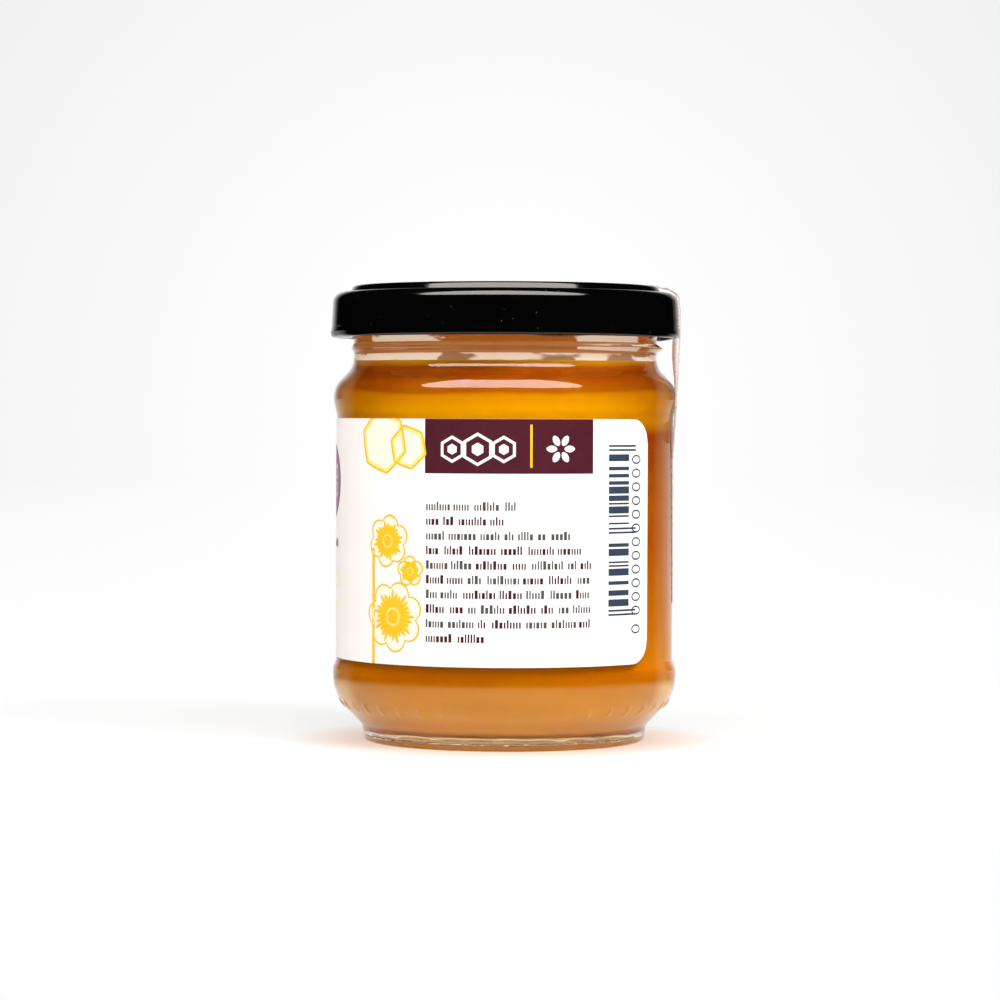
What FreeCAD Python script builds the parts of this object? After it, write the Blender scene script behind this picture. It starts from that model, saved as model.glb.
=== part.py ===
"""A family honey jar: glass jar, honey, twist-off lid, wrap label and paper seal strip.

Millimetres, +Z up. The origin is the centre of the foot ring, on the surface the jar
stands on. The middle of the label faces -X and the seal strip runs down the +X side.
Every sub-part is a body of one document, and its sizes are bound to one sheet.
"""
import FreeCAD, Part
import math
import os

import Sketcher

SHEET = "dims"

SIZES = {
    # glass, outside
    "push_up_depth": 1.8,
    "push_up_radius": 21.6,
    "push_up_edge_height": 1.3,
    "foot_inner_radius": 24.6,
    "foot_outer_radius": 26.3,
    "foot_bend": 0.55,
    "foot_side_radius": 26.95,
    "foot_side_top": 2.1,
    "ridge_radius": 32.5,
    "heel_slope": 45.0,
    "heel_bend": 7.2,
    "heel_top": 10.8,
    "lower_ridge_top": 14.3,
    "panel_radius": 31.85,
    "panel_bottom": 15.4,
    "panel_top": 61.2,
    "upper_ridge_bottom": 63.2,
    "upper_ridge_top": 64.4,
    "shoulder_slope": 44.0,
    "shoulder_bend": 4.5,
    "neck_radius": 28.75,
    "neck_bend": 4.2,
    "neck_bottom": 71.8,
    "bead_height": 74.1,
    "bead_reach": 29.7,
    "bead_half_height": 0.75,
    "rim_height": 85.5,
    "rim_bend": 1.1,
    # glass, inside
    "neck_wall": 2.45,
    "inner_radius": 29.4,
    "inner_shoulder_bend": 2.4,
    "inner_heel_bend": 7.5,
    "inner_floor_height": 4.8,
    # screw threads on the neck
    "thread_count": 4,
    "thread_path_radius": 29.6,
    "thread_half_thickness": 1.3,
    "thread_height": 78.9,
    "thread_tilt": 6.1,
    "thread_half_span": 46.0,
    "lug_angle": 17.6,
    # honey
    "honey_level": 71.3,
    # lid
    "steel": 0.3,
    "lid_panel_height": 84.7,
    "lid_panel_radius": 24.3,
    "lid_ring_height": 85.8,
    "lid_ring_inner": 25.9,
    "lid_ring_outer": 28.2,
    "lid_ring_bend": 0.95,
    "lid_groove_radius": 29.4,
    "lid_groove_height": 84.4,
    "lid_shoulder_radius": 30.55,
    "lid_shoulder_height": 84.6,
    "lid_corner_bend": 2.05,
    "lid_skirt_top_height": 82.55,
    "curl_path_radius": 32.38,
    "curl_height": 76.75,
    "curl_bend": 0.75,
    "lug_path_radius": 31.45,
    "lug_height": 76.6,
    "lug_half_thickness": 0.95,
    "lug_half_span": 7.0,
    # label
    "paper": 0.1,
    "label_bottom": 15.8,
    "label_top": 60.8,
    "label_span": 291.0,
    "label_corner_bend": 4.5,
    "label_front": 180.0,
    # seal strip
    "strip_film": 0.12,
    "strip_width": 9.0,
    "strip_lean": 3.5,
    "strip_span": 84.0,
    "strip_top_end_radius": 15.0,
    "strip_fall": 24.84,
    "strip_lands_height": 53.0,
    "strip_bottom_height": 26.2,
}


class Size:
    """A number worked out from the sheet, with the expression that gives it."""

    def __init__(self, value, text):
        self.value = value
        self.text = text

    @staticmethod
    def of(other):
        return other if isinstance(other, Size) else Size(float(other), repr(other))

    def __add__(self, other):
        other = Size.of(other)
        return Size(self.value + other.value, f"({self.text} + {other.text})")

    def __sub__(self, other):
        other = Size.of(other)
        return Size(self.value - other.value, f"({self.text} - {other.text})")

    def __rsub__(self, other):
        return Size.of(other) - self

    def __mul__(self, other):
        other = Size.of(other)
        return Size(self.value * other.value, f"({self.text} * {other.text})")

    def __truediv__(self, other):
        other = Size.of(other)
        return Size(self.value / other.value, f"({self.text} / {other.text})")


def cell(alias):
    """The sheet's value of one alias."""
    return Size(SIZES[alias], f"{SHEET}.{alias}")


def sine(angle):
    """The sine of an angle in degrees."""
    return Size(math.sin(math.radians(angle.value)), f"sin({angle.text})")


def cosine(angle):
    """The cosine of an angle in degrees."""
    return Size(math.cos(math.radians(angle.value)), f"cos({angle.text})")


AXIS = Size(0.0, "0")


def make_sheet(doc):
    """The sheet of driving dimensions: a name beside its value in each row."""
    sheet = doc.addObject("Spreadsheet::Sheet", SHEET)
    for row, (alias, value) in enumerate(SIZES.items(), start=1):
        sheet.set(f"A{row}", alias)
        sheet.set(f"B{row}", str(value))
        sheet.setAlias(f"B{row}", alias)
    doc.recompute()
    return sheet


def origin_plane(body, role):
    """One of a body's own origin planes, found by its role."""
    return next(f for f in body.Origin.OriginFeatures if f.Role == role)


def arc_between(start, end, radius, turn):
    """The minor arc of a radius from start to end. turn is 1 for anticlockwise, -1 for clockwise."""
    chord = end - start
    middle = (start + end) * 0.5
    side = FreeCAD.Vector(-chord.y, chord.x, 0) * (turn / chord.Length)
    rise = math.sqrt(max(radius**2 - (chord.Length / 2) ** 2, 0.0))
    centre = middle + side * rise
    first, last = (start, end) if turn > 0 else (end, start)
    from_angle = math.atan2(first.y - centre.y, first.x - centre.x)
    to_angle = math.atan2(last.y - centre.y, last.x - centre.x)
    if to_angle < from_angle:
        to_angle += 2 * math.pi
    circle = Part.Circle(centre, FreeCAD.Vector(0, 0, 1), radius)
    return Part.ArcOfCircle(circle, from_angle, to_angle)


def outline(body, name, corners, plane="XZ_Plane", swing=0.0):
    """A closed section on one of the body's upright planes, swung about the upright axis.

    Each corner is (radius, height, bend): bend is None where a straight run leads to the
    next corner, or (radius, turn) where an arc does. Every corner's place and every
    arc's radius is a constraint bound to the sheet.
    """
    sketch = body.newObject("Sketcher::SketchObject", name)
    sketch.AttachmentSupport = [(origin_plane(body, plane), "")]
    sketch.MapMode = "FlatFace"
    upright = FreeCAD.Rotation(FreeCAD.Vector(0, 1, 0), swing)
    sketch.AttachmentOffset = FreeCAD.Placement(FreeCAD.Vector(), upright)
    places = [FreeCAD.Vector(r.value, z.value, 0) for r, z, _ in corners]
    ends = []
    for index, (_, _, bend) in enumerate(corners):
        start = places[index]
        end = places[(index + 1) % len(corners)]
        if bend is None:
            sketch.addGeometry(Part.LineSegment(start, end), False)
            ends.append((1, 2))
        else:
            sketch.addGeometry(arc_between(start, end, bend[0].value, bend[1]), False)
            ends.append((1, 2) if bend[1] > 0 else (2, 1))
    for index, (radius, height, bend) in enumerate(corners):
        following = (index + 1) % len(corners)
        sketch.addConstraint(
            Sketcher.Constraint("Coincident", index, ends[index][1], following, ends[following][0])
        )
        point = ends[index][0]
        if radius.value == 0:
            sketch.addConstraint(Sketcher.Constraint("PointOnObject", index, point, -2))
        else:
            bind(sketch, "DistanceX", f"corner{index}_radius", radius, index, point)
        if height.value == 0:
            sketch.addConstraint(Sketcher.Constraint("PointOnObject", index, point, -1))
        else:
            bind(sketch, "DistanceY", f"corner{index}_height", height, index, point)
        if bend is not None:
            number = sketch.addConstraint(Sketcher.Constraint("Radius", index, bend[0].value))
            sketch.renameConstraint(number, f"corner{index}_bend")
            sketch.setExpression(f"Constraints.corner{index}_bend", bend[0].text)
    return sketch


def bind(sketch, kind, name, size, index, point):
    """A distance of one point from the sketch's origin, bound to the sheet."""
    number = sketch.addConstraint(Sketcher.Constraint(kind, -1, 1, index, point, size.value))
    sketch.renameConstraint(number, name)
    sketch.setExpression(f"Constraints.{name}", size.text)


def turned(body, name, sketch, span=None):
    """A section turned about the body's upright axis, all round or by a span of degrees."""
    feature = body.newObject("PartDesign::Revolution", name)
    feature.Profile = sketch
    feature.ReferenceAxis = (sketch, ["V_Axis"])
    feature.Angle = 360.0 if span is None else span.value
    if span is not None:
        feature.Midplane = True
        feature.setExpression("Angle", span.text)
    body.Tip = feature
    return feature


def ridge_arcs(body, name, path_radius, half_thickness, height, half_span, tilt):
    """Round ridges along parts of a circle, one at each lug, each with domed ends.

    The circle is tilted about the radius through a ridge's middle, so that the ridge
    climbs like a short stretch of screw thread.
    """
    count = int(SIZES["thread_count"])
    for index in range(count):
        middle = SIZES["lug_angle"] + index * 360.0 / count
        ridge = body.newObject("PartDesign::AdditiveTorus", f"{name}{index}")
        ridge.setExpression("Radius1", path_radius.text)
        ridge.setExpression("Radius2", half_thickness.text)
        ridge.setExpression("Angle3", (half_span * 2).text)
        ridge.Placement = on_circle(middle, tilt, -half_span.value, height, AXIS)
        for end, along in (("start", -half_span.value), ("finish", half_span.value)):
            dome = body.newObject("PartDesign::AdditiveSphere", f"{name}{index}_{end}")
            dome.setExpression("Radius", half_thickness.text)
            dome.Placement = on_circle(middle, tilt, along, height, path_radius)
            body.Tip = dome


def on_circle(middle, tilt, along, height, reach):
    """A place on a tilted circle: some degrees along it from its middle, at a reach from its centre."""
    up = FreeCAD.Vector(0, 0, 1)
    turn = FreeCAD.Rotation(up, middle)
    lean = FreeCAD.Rotation(FreeCAD.Vector(1, 0, 0), tilt.value)
    rotation = turn.multiply(lean).multiply(FreeCAD.Rotation(up, along))
    out = rotation.multVec(FreeCAD.Vector(reach.value, 0, 0))
    return FreeCAD.Placement(out + up * height.value, rotation)


def new_body(doc, label):
    """A body whose label names its file."""
    body = doc.addObject("PartDesign::Body", label)
    body.Label = label
    body.Placement = FreeCAD.Placement()
    return body


def bore_corners():
    """The inside of the glass, from the neck's bore down to the middle of the floor.

    The neck's bend inside is the outside bend grown by the wall, and the shoulder's
    slope runs on from it at the same angle to a smaller bend.
    """
    slope = cell("shoulder_slope")
    bore = cell("neck_radius") - cell("neck_wall")
    neck_bend = cell("neck_bend") + cell("neck_wall")
    neck_end_radius = bore + neck_bend * (1 - cosine(slope))
    neck_end_height = cell("neck_bottom") - neck_bend * sine(slope)
    bend = cell("inner_shoulder_bend")
    inner = cell("inner_radius")
    slope_end_radius = inner - bend * (1 - cosine(slope))
    drop = (slope_end_radius - neck_end_radius) * cosine(slope) / sine(slope)
    slope_end_height = neck_end_height - drop
    floor = cell("inner_floor_height")
    heel = cell("inner_heel_bend")
    return [
        (bore, cell("neck_bottom"), (neck_bend, 1)),
        (neck_end_radius, neck_end_height, None),
        (slope_end_radius, slope_end_height, (bend, -1)),
        (inner, slope_end_height - bend * sine(slope), None),
        (inner, floor + heel, (heel, -1)),
        (inner - heel, floor, None),
        (AXIS, floor, None),
    ]


def make_glass_jar(doc):
    """The glass: one turned wall with its bead, and the screw threads on the neck."""
    body = new_body(doc, "glass_jar")
    slope = cell("shoulder_slope")
    heel_slope = cell("heel_slope")
    ridge = cell("ridge_radius")
    neck = cell("neck_radius")
    bend = cell("shoulder_bend")
    neck_bend = cell("neck_bend")
    rim = cell("rim_height")
    rim_bend = cell("rim_bend")
    bore = neck - cell("neck_wall")
    foot_bend = cell("foot_bend")
    heel_bend = cell("heel_bend")
    heel_top = cell("heel_top")
    bead = cell("bead_height")
    bead_half = cell("bead_half_height")
    neck_out = neck_bend * (1 - cosine(slope))
    neck_down = neck_bend * sine(slope)
    corners = [
        (AXIS, cell("push_up_depth"), None),
        (cell("push_up_radius"), cell("push_up_edge_height"), None),
        (cell("foot_inner_radius"), AXIS, None),
        (cell("foot_outer_radius"), AXIS, (foot_bend, 1)),
        (cell("foot_outer_radius") + foot_bend, foot_bend, None),
        (cell("foot_side_radius"), cell("foot_side_top"), None),
        (
            ridge - heel_bend * (1 - cosine(heel_slope)),
            heel_top - heel_bend * sine(heel_slope),
            (heel_bend, 1),
        ),
        (ridge, heel_top, None),
        (ridge, cell("lower_ridge_top"), None),
        (cell("panel_radius"), cell("panel_bottom"), None),
        (cell("panel_radius"), cell("panel_top"), None),
        (ridge, cell("upper_ridge_bottom"), None),
        (ridge, cell("upper_ridge_top"), (bend, 1)),
        (ridge - bend * (1 - cosine(slope)), cell("upper_ridge_top") + bend * sine(slope), None),
        (neck + neck_out, cell("neck_bottom") - neck_down, (neck_bend, -1)),
        (neck, cell("neck_bottom"), None),
        (neck, bead - bead_half, None),
        (cell("bead_reach"), bead, None),
        (neck, bead + bead_half, None),
        (neck, rim - rim_bend, (rim_bend, 1)),
        (neck - rim_bend, rim, None),
        (bore + rim_bend, rim, (rim_bend, 1)),
        (bore, rim - rim_bend, None),
    ] + bore_corners()
    turned(body, "glass_wall", outline(body, "glass_section", corners))
    ridge_arcs(
        body,
        "thread",
        cell("thread_path_radius"),
        cell("thread_half_thickness"),
        cell("thread_height"),
        cell("thread_half_span"),
        cell("thread_tilt"),
    )
    return body


def make_honey(doc):
    """The honey: it fills the glass from the floor up to its level in the neck."""
    body = new_body(doc, "honey")
    inside = bore_corners()
    level = cell("honey_level")
    bore = inside[0][0]
    neck_bend = inside[0][2][0]
    below = cell("neck_bottom") - level
    # the level cuts the neck's bend a little below its top
    reach = Size(
        math.sqrt(neck_bend.value**2 - below.value**2),
        f"sqrt({neck_bend.text} * {neck_bend.text} - {below.text} * {below.text})",
    )
    surface_radius = bore + neck_bend - reach
    corners = [(AXIS, level, None), (surface_radius, level, inside[0][2])] + inside[1:]
    turned(body, "filling", outline(body, "honey_section", corners))
    return body


def lid_outside():
    """The lid's outer line, from the middle of its panel to the foot of its skirt."""
    ring = cell("lid_ring_height")
    ring_bend = cell("lid_ring_bend")
    corner = cell("lid_corner_bend")
    skirt_top = cell("lid_skirt_top_height")
    return [
        (AXIS, cell("lid_panel_height"), None),
        (cell("lid_panel_radius"), cell("lid_panel_height"), None),
        (cell("lid_ring_inner"), ring, None),
        (cell("lid_ring_outer"), ring, (ring_bend, -1)),
        (cell("lid_ring_outer") + ring_bend, ring - ring_bend, None),
        (cell("lid_groove_radius"), cell("lid_groove_height"), None),
        (cell("lid_shoulder_radius"), cell("lid_shoulder_height"), (corner, -1)),
        (cell("lid_shoulder_radius") + corner, skirt_top, None),
    ]


def make_lid(doc):
    """The steel lid: a pressed panel and skirt with a rolled edge and inward lugs."""
    body = new_body(doc, "lid")
    steel = cell("steel")
    corner = cell("lid_corner_bend")
    ring_bend = cell("lid_ring_bend")
    outside = lid_outside()
    curl_top = cell("curl_height")
    curl_out = cell("curl_path_radius") + cell("curl_bend")
    curl_in = cell("curl_path_radius") - cell("curl_bend")
    curl_bottom = cell("curl_height") - cell("curl_bend")
    under = cell("lid_panel_height") - steel
    ring_under = cell("lid_ring_height") - steel
    ring_side = cell("lid_ring_outer") + ring_bend - steel
    ring_side_top = cell("lid_ring_height") - ring_bend
    inner_corner_radius = cell("lid_shoulder_radius") + corner - steel
    corners = outside + [
        (curl_out, curl_top, (cell("curl_bend"), -1)),
        (cell("curl_path_radius"), curl_bottom, (cell("curl_bend"), -1)),
        (curl_in, curl_top, (cell("curl_bend"), -1)),
        (cell("curl_path_radius"), curl_top + cell("curl_bend"), None),
        (inner_corner_radius, cell("lid_skirt_top_height"), (corner - steel, 1)),
        (cell("lid_shoulder_radius"), cell("lid_skirt_top_height") + corner - steel, None),
        (cell("lid_groove_radius"), cell("lid_groove_height") - steel, None),
        (ring_side, ring_side_top, (ring_bend - steel, 1)),
        (cell("lid_ring_outer"), ring_under, None),
        (cell("lid_ring_inner"), ring_under, None),
        (cell("lid_panel_radius"), under, None),
        (AXIS, under, None),
    ]
    turned(body, "pressed_shell", outline(body, "lid_section", corners))
    ridge_arcs(
        body,
        "lug",
        cell("lug_path_radius"),
        cell("lug_half_thickness"),
        cell("lug_height"),
        cell("lug_half_span"),
        AXIS,
    )
    return body


def make_label(doc):
    """The paper label: a sleeve open at the back, with rounded corners."""
    body = new_body(doc, "label")
    inner = cell("panel_radius")
    outer = inner + cell("paper")
    bottom = cell("label_bottom")
    top = cell("label_top")
    corners = [(inner, bottom, None), (outer, bottom, None), (outer, top, None), (inner, top, None)]
    turned(body, "sleeve", outline(body, "label_section", corners), cell("label_span"))
    bend = cell("label_corner_bend")
    cuts = {
        "top_corner": [(AXIS, top - bend, (bend, -1)), (bend, top, None), (AXIS, top, None)],
        "bottom_corner": [(AXIS, bottom + bend, (bend, 1)), (bend, bottom, None), (AXIS, bottom, None)],
    }
    pockets = []
    for name, shape in cuts.items():
        pocket = body.newObject("PartDesign::Pocket", name)
        pocket.Profile = outline(body, f"{name}_outline", shape, "YZ_Plane", -SIZES["label_span"] / 2)
        pocket.Reversed = True
        pocket.setExpression("Length", (outer * 2).text)
        body.Tip = pocket
        pockets.append(pocket)
    mirrored = body.newObject("PartDesign::Mirrored", "other_end")
    mirrored.Originals = pockets
    mirrored.MirrorPlane = (origin_plane(body, "XZ_Plane"), [""])
    body.Tip = mirrored
    body.Placement = FreeCAD.Placement(
        FreeCAD.Vector(), FreeCAD.Rotation(FreeCAD.Vector(0, 0, 1), SIZES["label_front"])
    )
    return body


def make_seal_strip(doc):
    """The seal strip: from the lid's panel over its ring and skirt, then down the glass.

    It bridges the gap between the ring and the corner of the lid, the one between the
    skirt and the glass ridge, and the one between the ridge and the panel. Its two sides
    lean together, so that it runs down the glass a little askew.
    """
    body = new_body(doc, "seal_strip")
    film = cell("strip_film")
    ring = cell("lid_ring_height")
    corner = cell("lid_corner_bend")
    shoulder = cell("lid_shoulder_radius")
    skirt_top = cell("lid_skirt_top_height")
    curl_out = cell("curl_path_radius") + cell("curl_bend")
    curl = cell("curl_height")
    ridge = cell("ridge_radius")
    panel = cell("panel_radius")
    fall = cell("strip_fall")
    ring_bend = cell("lid_ring_bend")
    ring_edge = cell("lid_ring_outer")
    # the ring's inner side leans, so the film's upper face lies a little inwards of it
    inwards = film / 2

    def over_bend(centre_radius, centre_height, bend):
        """The point of a bend at which the strip leaves it or meets it."""
        return centre_radius + bend * sine(fall), centre_height + bend * cosine(fall)

    leaves = over_bend(ring_edge, ring - ring_bend, ring_bend)
    meets = over_bend(shoulder, skirt_top, corner)
    outer_leaves = over_bend(ring_edge, ring - ring_bend, ring_bend + film)
    outer_meets = over_bend(shoulder, skirt_top, corner + film)
    corners = [
        (cell("strip_top_end_radius"), cell("lid_panel_height"), None),
        (cell("lid_panel_radius"), cell("lid_panel_height"), None),
        (cell("lid_ring_inner"), ring, None),
        (ring_edge, ring, (ring_bend, -1)),
        (*leaves, None),
        (*meets, (corner, -1)),
        (shoulder + corner, skirt_top, None),
        (curl_out, curl, None),
        (ridge, cell("upper_ridge_top"), None),
        (ridge, cell("upper_ridge_bottom"), None),
        (panel, cell("strip_lands_height"), None),
        (panel, cell("strip_bottom_height"), None),
        (panel + film, cell("strip_bottom_height"), None),
        (panel + film, cell("strip_lands_height"), None),
        (ridge + film, cell("upper_ridge_bottom"), None),
        (ridge + film, cell("upper_ridge_top"), None),
        (curl_out + film, curl, None),
        (shoulder + corner + film, skirt_top, (corner + film, 1)),
        (*outer_meets, None),
        (*outer_leaves, (ring_bend + film, 1)),
        (ring_edge, ring + film, None),
        (cell("lid_ring_inner") - inwards, ring + film, None),
        (cell("lid_panel_radius") - inwards, cell("lid_panel_height") + film, None),
        (cell("strip_top_end_radius"), cell("lid_panel_height") + film, None),
    ]
    turned(body, "strip_ring", outline(body, "strip_section", corners), cell("strip_span"))
    trim_side = ridge * 2
    trim_height = ring * 2
    foot = FreeCAD.Vector(0, 0, SIZES["strip_bottom_height"])
    lean = FreeCAD.Rotation(FreeCAD.Vector(1, 0, 0), SIZES["strip_lean"])
    for name, side in (("near_trim", -1), ("far_trim", 1)):
        trim = body.newObject("PartDesign::SubtractiveBox", name)
        trim.setExpression("Length", trim_side.text)
        trim.setExpression("Width", trim_side.text)
        trim.setExpression("Height", trim_height.text)
        start = SIZES["strip_width"] / 2 if side > 0 else -SIZES["strip_width"] / 2 - trim_side.value
        corner_place = foot + lean.multVec(FreeCAD.Vector(0, start, -ring.value))
        trim.Placement = FreeCAD.Placement(corner_place, lean)
        body.Tip = trim
    return body


def check_document(doc, bodies):
    """Stops with a plain message where an object or a sub-part's shape has failed."""
    for item in doc.Objects:
        if "Invalid" in item.State or "Error" in item.State:
            raise RuntimeError(f"{item.Name} failed: {item.State}")
    for body in bodies:
        shape = body.Shape
        if shape.isNull() or not shape.isValid():
            raise RuntimeError(f"{body.Label} has no valid shape")
        if len(shape.Solids) != 1:
            raise RuntimeError(f"{body.Label} is {len(shape.Solids)} solids")


def main():
    doc = FreeCAD.newDocument("honey_jar")
    make_sheet(doc)
    makers = (make_glass_jar, make_honey, make_lid, make_label, make_seal_strip)
    bodies = [maker(doc) for maker in makers]
    doc.recompute()
    check_document(doc, bodies)
    os.makedirs("parts", exist_ok=True)
    for body in bodies:
        body.Shape.exportStep(f"parts/{body.Label}.step")
        box = body.Shape.BoundBox
        print(
            f"{body.Label}: {body.Shape.Volume:.1f} mm3, z {box.ZMin:.2f} to {box.ZMax:.2f}, "
            f"x {box.XMin:.2f} to {box.XMax:.2f}, y {box.YMin:.2f} to {box.YMax:.2f}"
        )


main()
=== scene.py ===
"""The looks of a family honey jar: glass, honey, enamelled lid, printed label and seal strip.

Lengths inside the classes are millimetres and turn into metres where a mesh is written.
The middle of the label faces -X, the seal strip runs down the +X side and +Z is up.
Angles round the jar are measured from +X towards +Y.
"""
import logging
import math
from dataclasses import dataclass, field
from enum import Enum

import bpy
import numpy as np
from mathutils import Matrix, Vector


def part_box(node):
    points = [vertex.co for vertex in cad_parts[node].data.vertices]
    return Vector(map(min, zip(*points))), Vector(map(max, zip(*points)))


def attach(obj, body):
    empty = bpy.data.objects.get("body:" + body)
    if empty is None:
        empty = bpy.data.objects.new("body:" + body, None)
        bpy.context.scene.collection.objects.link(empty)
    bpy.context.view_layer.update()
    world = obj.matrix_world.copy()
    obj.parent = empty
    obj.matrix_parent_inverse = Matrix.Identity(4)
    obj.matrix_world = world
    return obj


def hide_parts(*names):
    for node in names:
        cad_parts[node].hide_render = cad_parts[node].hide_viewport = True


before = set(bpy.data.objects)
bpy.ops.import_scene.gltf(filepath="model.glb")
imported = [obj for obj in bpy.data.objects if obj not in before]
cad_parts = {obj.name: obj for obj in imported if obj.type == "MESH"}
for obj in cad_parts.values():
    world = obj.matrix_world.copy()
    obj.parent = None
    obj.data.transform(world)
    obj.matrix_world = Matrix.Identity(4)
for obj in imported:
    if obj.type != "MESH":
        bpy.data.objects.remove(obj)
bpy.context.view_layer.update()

MM = 0.001
LOG = logging.getLogger("honey_jar")
SHARP_ANGLE = math.radians(38.0)
POLE_RADIUS = 1.2
Colour = tuple[float, float, float]
Corner = tuple[float, float, float]
Place = tuple[float, float, float]
Input = bpy.types.NodeSocket | float | Colour


class Slot(Enum):
    """The record's material slots."""

    GLASS = "clear_glass"
    HONEY = "honey"
    LID = "lid_enamel"
    LABEL = "label_paper"
    SEAL = "seal_film"


# ---------------------------------------------------------------- numbers and profiles


def linear(red: float, green: float, blue: float) -> Colour:
    """Turns a display colour of 0 to 255 into the linear colour a shader takes.

    Args:
        red: The red share.
        green: The green share.
        blue: The blue share.

    Returns:
        The linear colour.
    """
    shares = np.array([red, green, blue]) / 255.0
    low = shares / 12.92
    high = ((shares + 0.055) / 1.055) ** 2.4
    return tuple(float(v) for v in np.where(shares <= 0.04045, low, high))


def node_box(node: str) -> tuple[np.ndarray, np.ndarray]:
    """Gives a CAD node's lowest and highest corners in millimetres."""
    low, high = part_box(node)
    return np.array(low) / MM, np.array(high) / MM


def smooth_step(low: float, high: float, values: np.ndarray) -> np.ndarray:
    """Climbs smoothly from 0 at low to 1 at high: 3t squared less 2t cubed."""
    share = np.clip((values - low) / (high - low), 0.0, 1.0)
    return share * share * (3.0 - 2.0 * share)


def rounded_outline(corners: list[Corner], step: float, arc_steps: int = 8) -> np.ndarray:
    """Rounds a line of corners and divides its straight runs evenly.

    At a corner with bend b and half turning angle h, the arc starts and ends b times
    tan(h) from the corner. Its points are the corner's centre of bend plus b times a
    direction that turns evenly from one run's normal to the other's.

    Args:
        corners: Each corner as (radius, height, bend). A bend of 0 stays sharp.
        step: The longest stretch of a straight run between two points.
        arc_steps: How many stretches an arc of a right angle has.

    Returns:
        The points, as an array of (radius, height).
    """
    places = np.array([c[:2] for c in corners], float)
    bends = [c[2] for c in corners]
    line = [places[0]]

    def add_run(end: np.ndarray) -> None:
        """Adds the points of a straight run from the last point to end.

        Args:
            end: Where the run ends.
        """
        start = line[-1]
        count = max(1, math.ceil(float(np.linalg.norm(end - start)) / step))
        shares = np.linspace(0.0, 1.0, count + 1)[1:, None]
        line.extend(start + (end - start) * shares)

    for index in range(1, len(places) - 1):
        here = places[index]
        before = here - places[index - 1]
        after = places[index + 1] - here
        before /= np.linalg.norm(before)
        after /= np.linalg.norm(after)
        turn = math.atan2(before[0] * after[1] - before[1] * after[0], float(before @ after))
        if bends[index] == 0 or abs(turn) < 1e-4:
            add_run(here)
            continue
        reach = bends[index] * math.tan(abs(turn) / 2)
        start = here - before * reach
        side = math.copysign(1.0, turn)
        normal = np.array([-before[1], before[0]]) * side
        centre = start + normal * bends[index]
        add_run(start)
        count = max(2, round(arc_steps * abs(turn) / (math.pi / 2)))
        angles = turn * np.linspace(0.0, 1.0, count + 1)[1:]
        spin_cos, spin_sin = np.cos(angles), np.sin(angles)
        arm = start - centre
        arc = np.stack(
            [arm[0] * spin_cos - arm[1] * spin_sin, arm[0] * spin_sin + arm[1] * spin_cos], axis=1
        )
        line.extend(centre + arc)
    add_run(places[-1])
    return np.array(line)


def even_angles(count: int) -> np.ndarray:
    """Gives that many angles spaced evenly round a full turn."""
    return np.linspace(0.0, 2 * math.pi, count, endpoint=False)


def six_sided(turn: float) -> np.ndarray:
    """Gives the reach of a hexagon with corners 1 from its centre, at 72 even angles.

    The reach at an angle is the cosine of 30 degrees over the cosine of the angle from
    the middle of the nearest side.

    Args:
        turn: The angle of the middle of one side.

    Returns:
        The reach at each angle.
    """
    side = (even_angles(72) - turn + math.pi / 6) % (math.pi / 3) - math.pi / 6
    return math.cos(math.pi / 6) / np.cos(side)


def wave_noise(seed: int, angles: np.ndarray, heights: np.ndarray,
               waves: int, around: int, upright: float) -> np.ndarray:
    """Adds up seeded waves that close round the jar, scaled to about -1 to 1.

    Each wave is the cosine of a whole number of turns times the angle, plus a number of
    turns for each millimetre of height, plus a phase.

    Args:
        seed: The seed of the waves' numbers.
        angles: Angles round the jar.
        heights: Heights in millimetres, of the same shape.
        waves: How many waves are added.
        around: The most turns round the jar.
        upright: The most turns for each millimetre of height.

    Returns:
        The sum, of the same shape.
    """
    draw = np.random.default_rng(seed)
    turns = draw.integers(1, around + 1, waves) * draw.choice([-1, 1], waves)
    rises = draw.uniform(-upright, upright, waves)
    phases = draw.uniform(0, 2 * math.pi, waves)
    shares = draw.uniform(0.4, 1.0, waves)
    total = np.zeros(np.broadcast(angles, heights).shape)
    for turn, rise, phase, share in zip(turns, rises, phases, shares):
        total += share * np.cos(turn * angles + 2 * math.pi * rise * heights + phase)
    return total / math.sqrt(float((shares**2).sum()) * 2)


# ------------------------------------------------------------------------------ meshes


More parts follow.
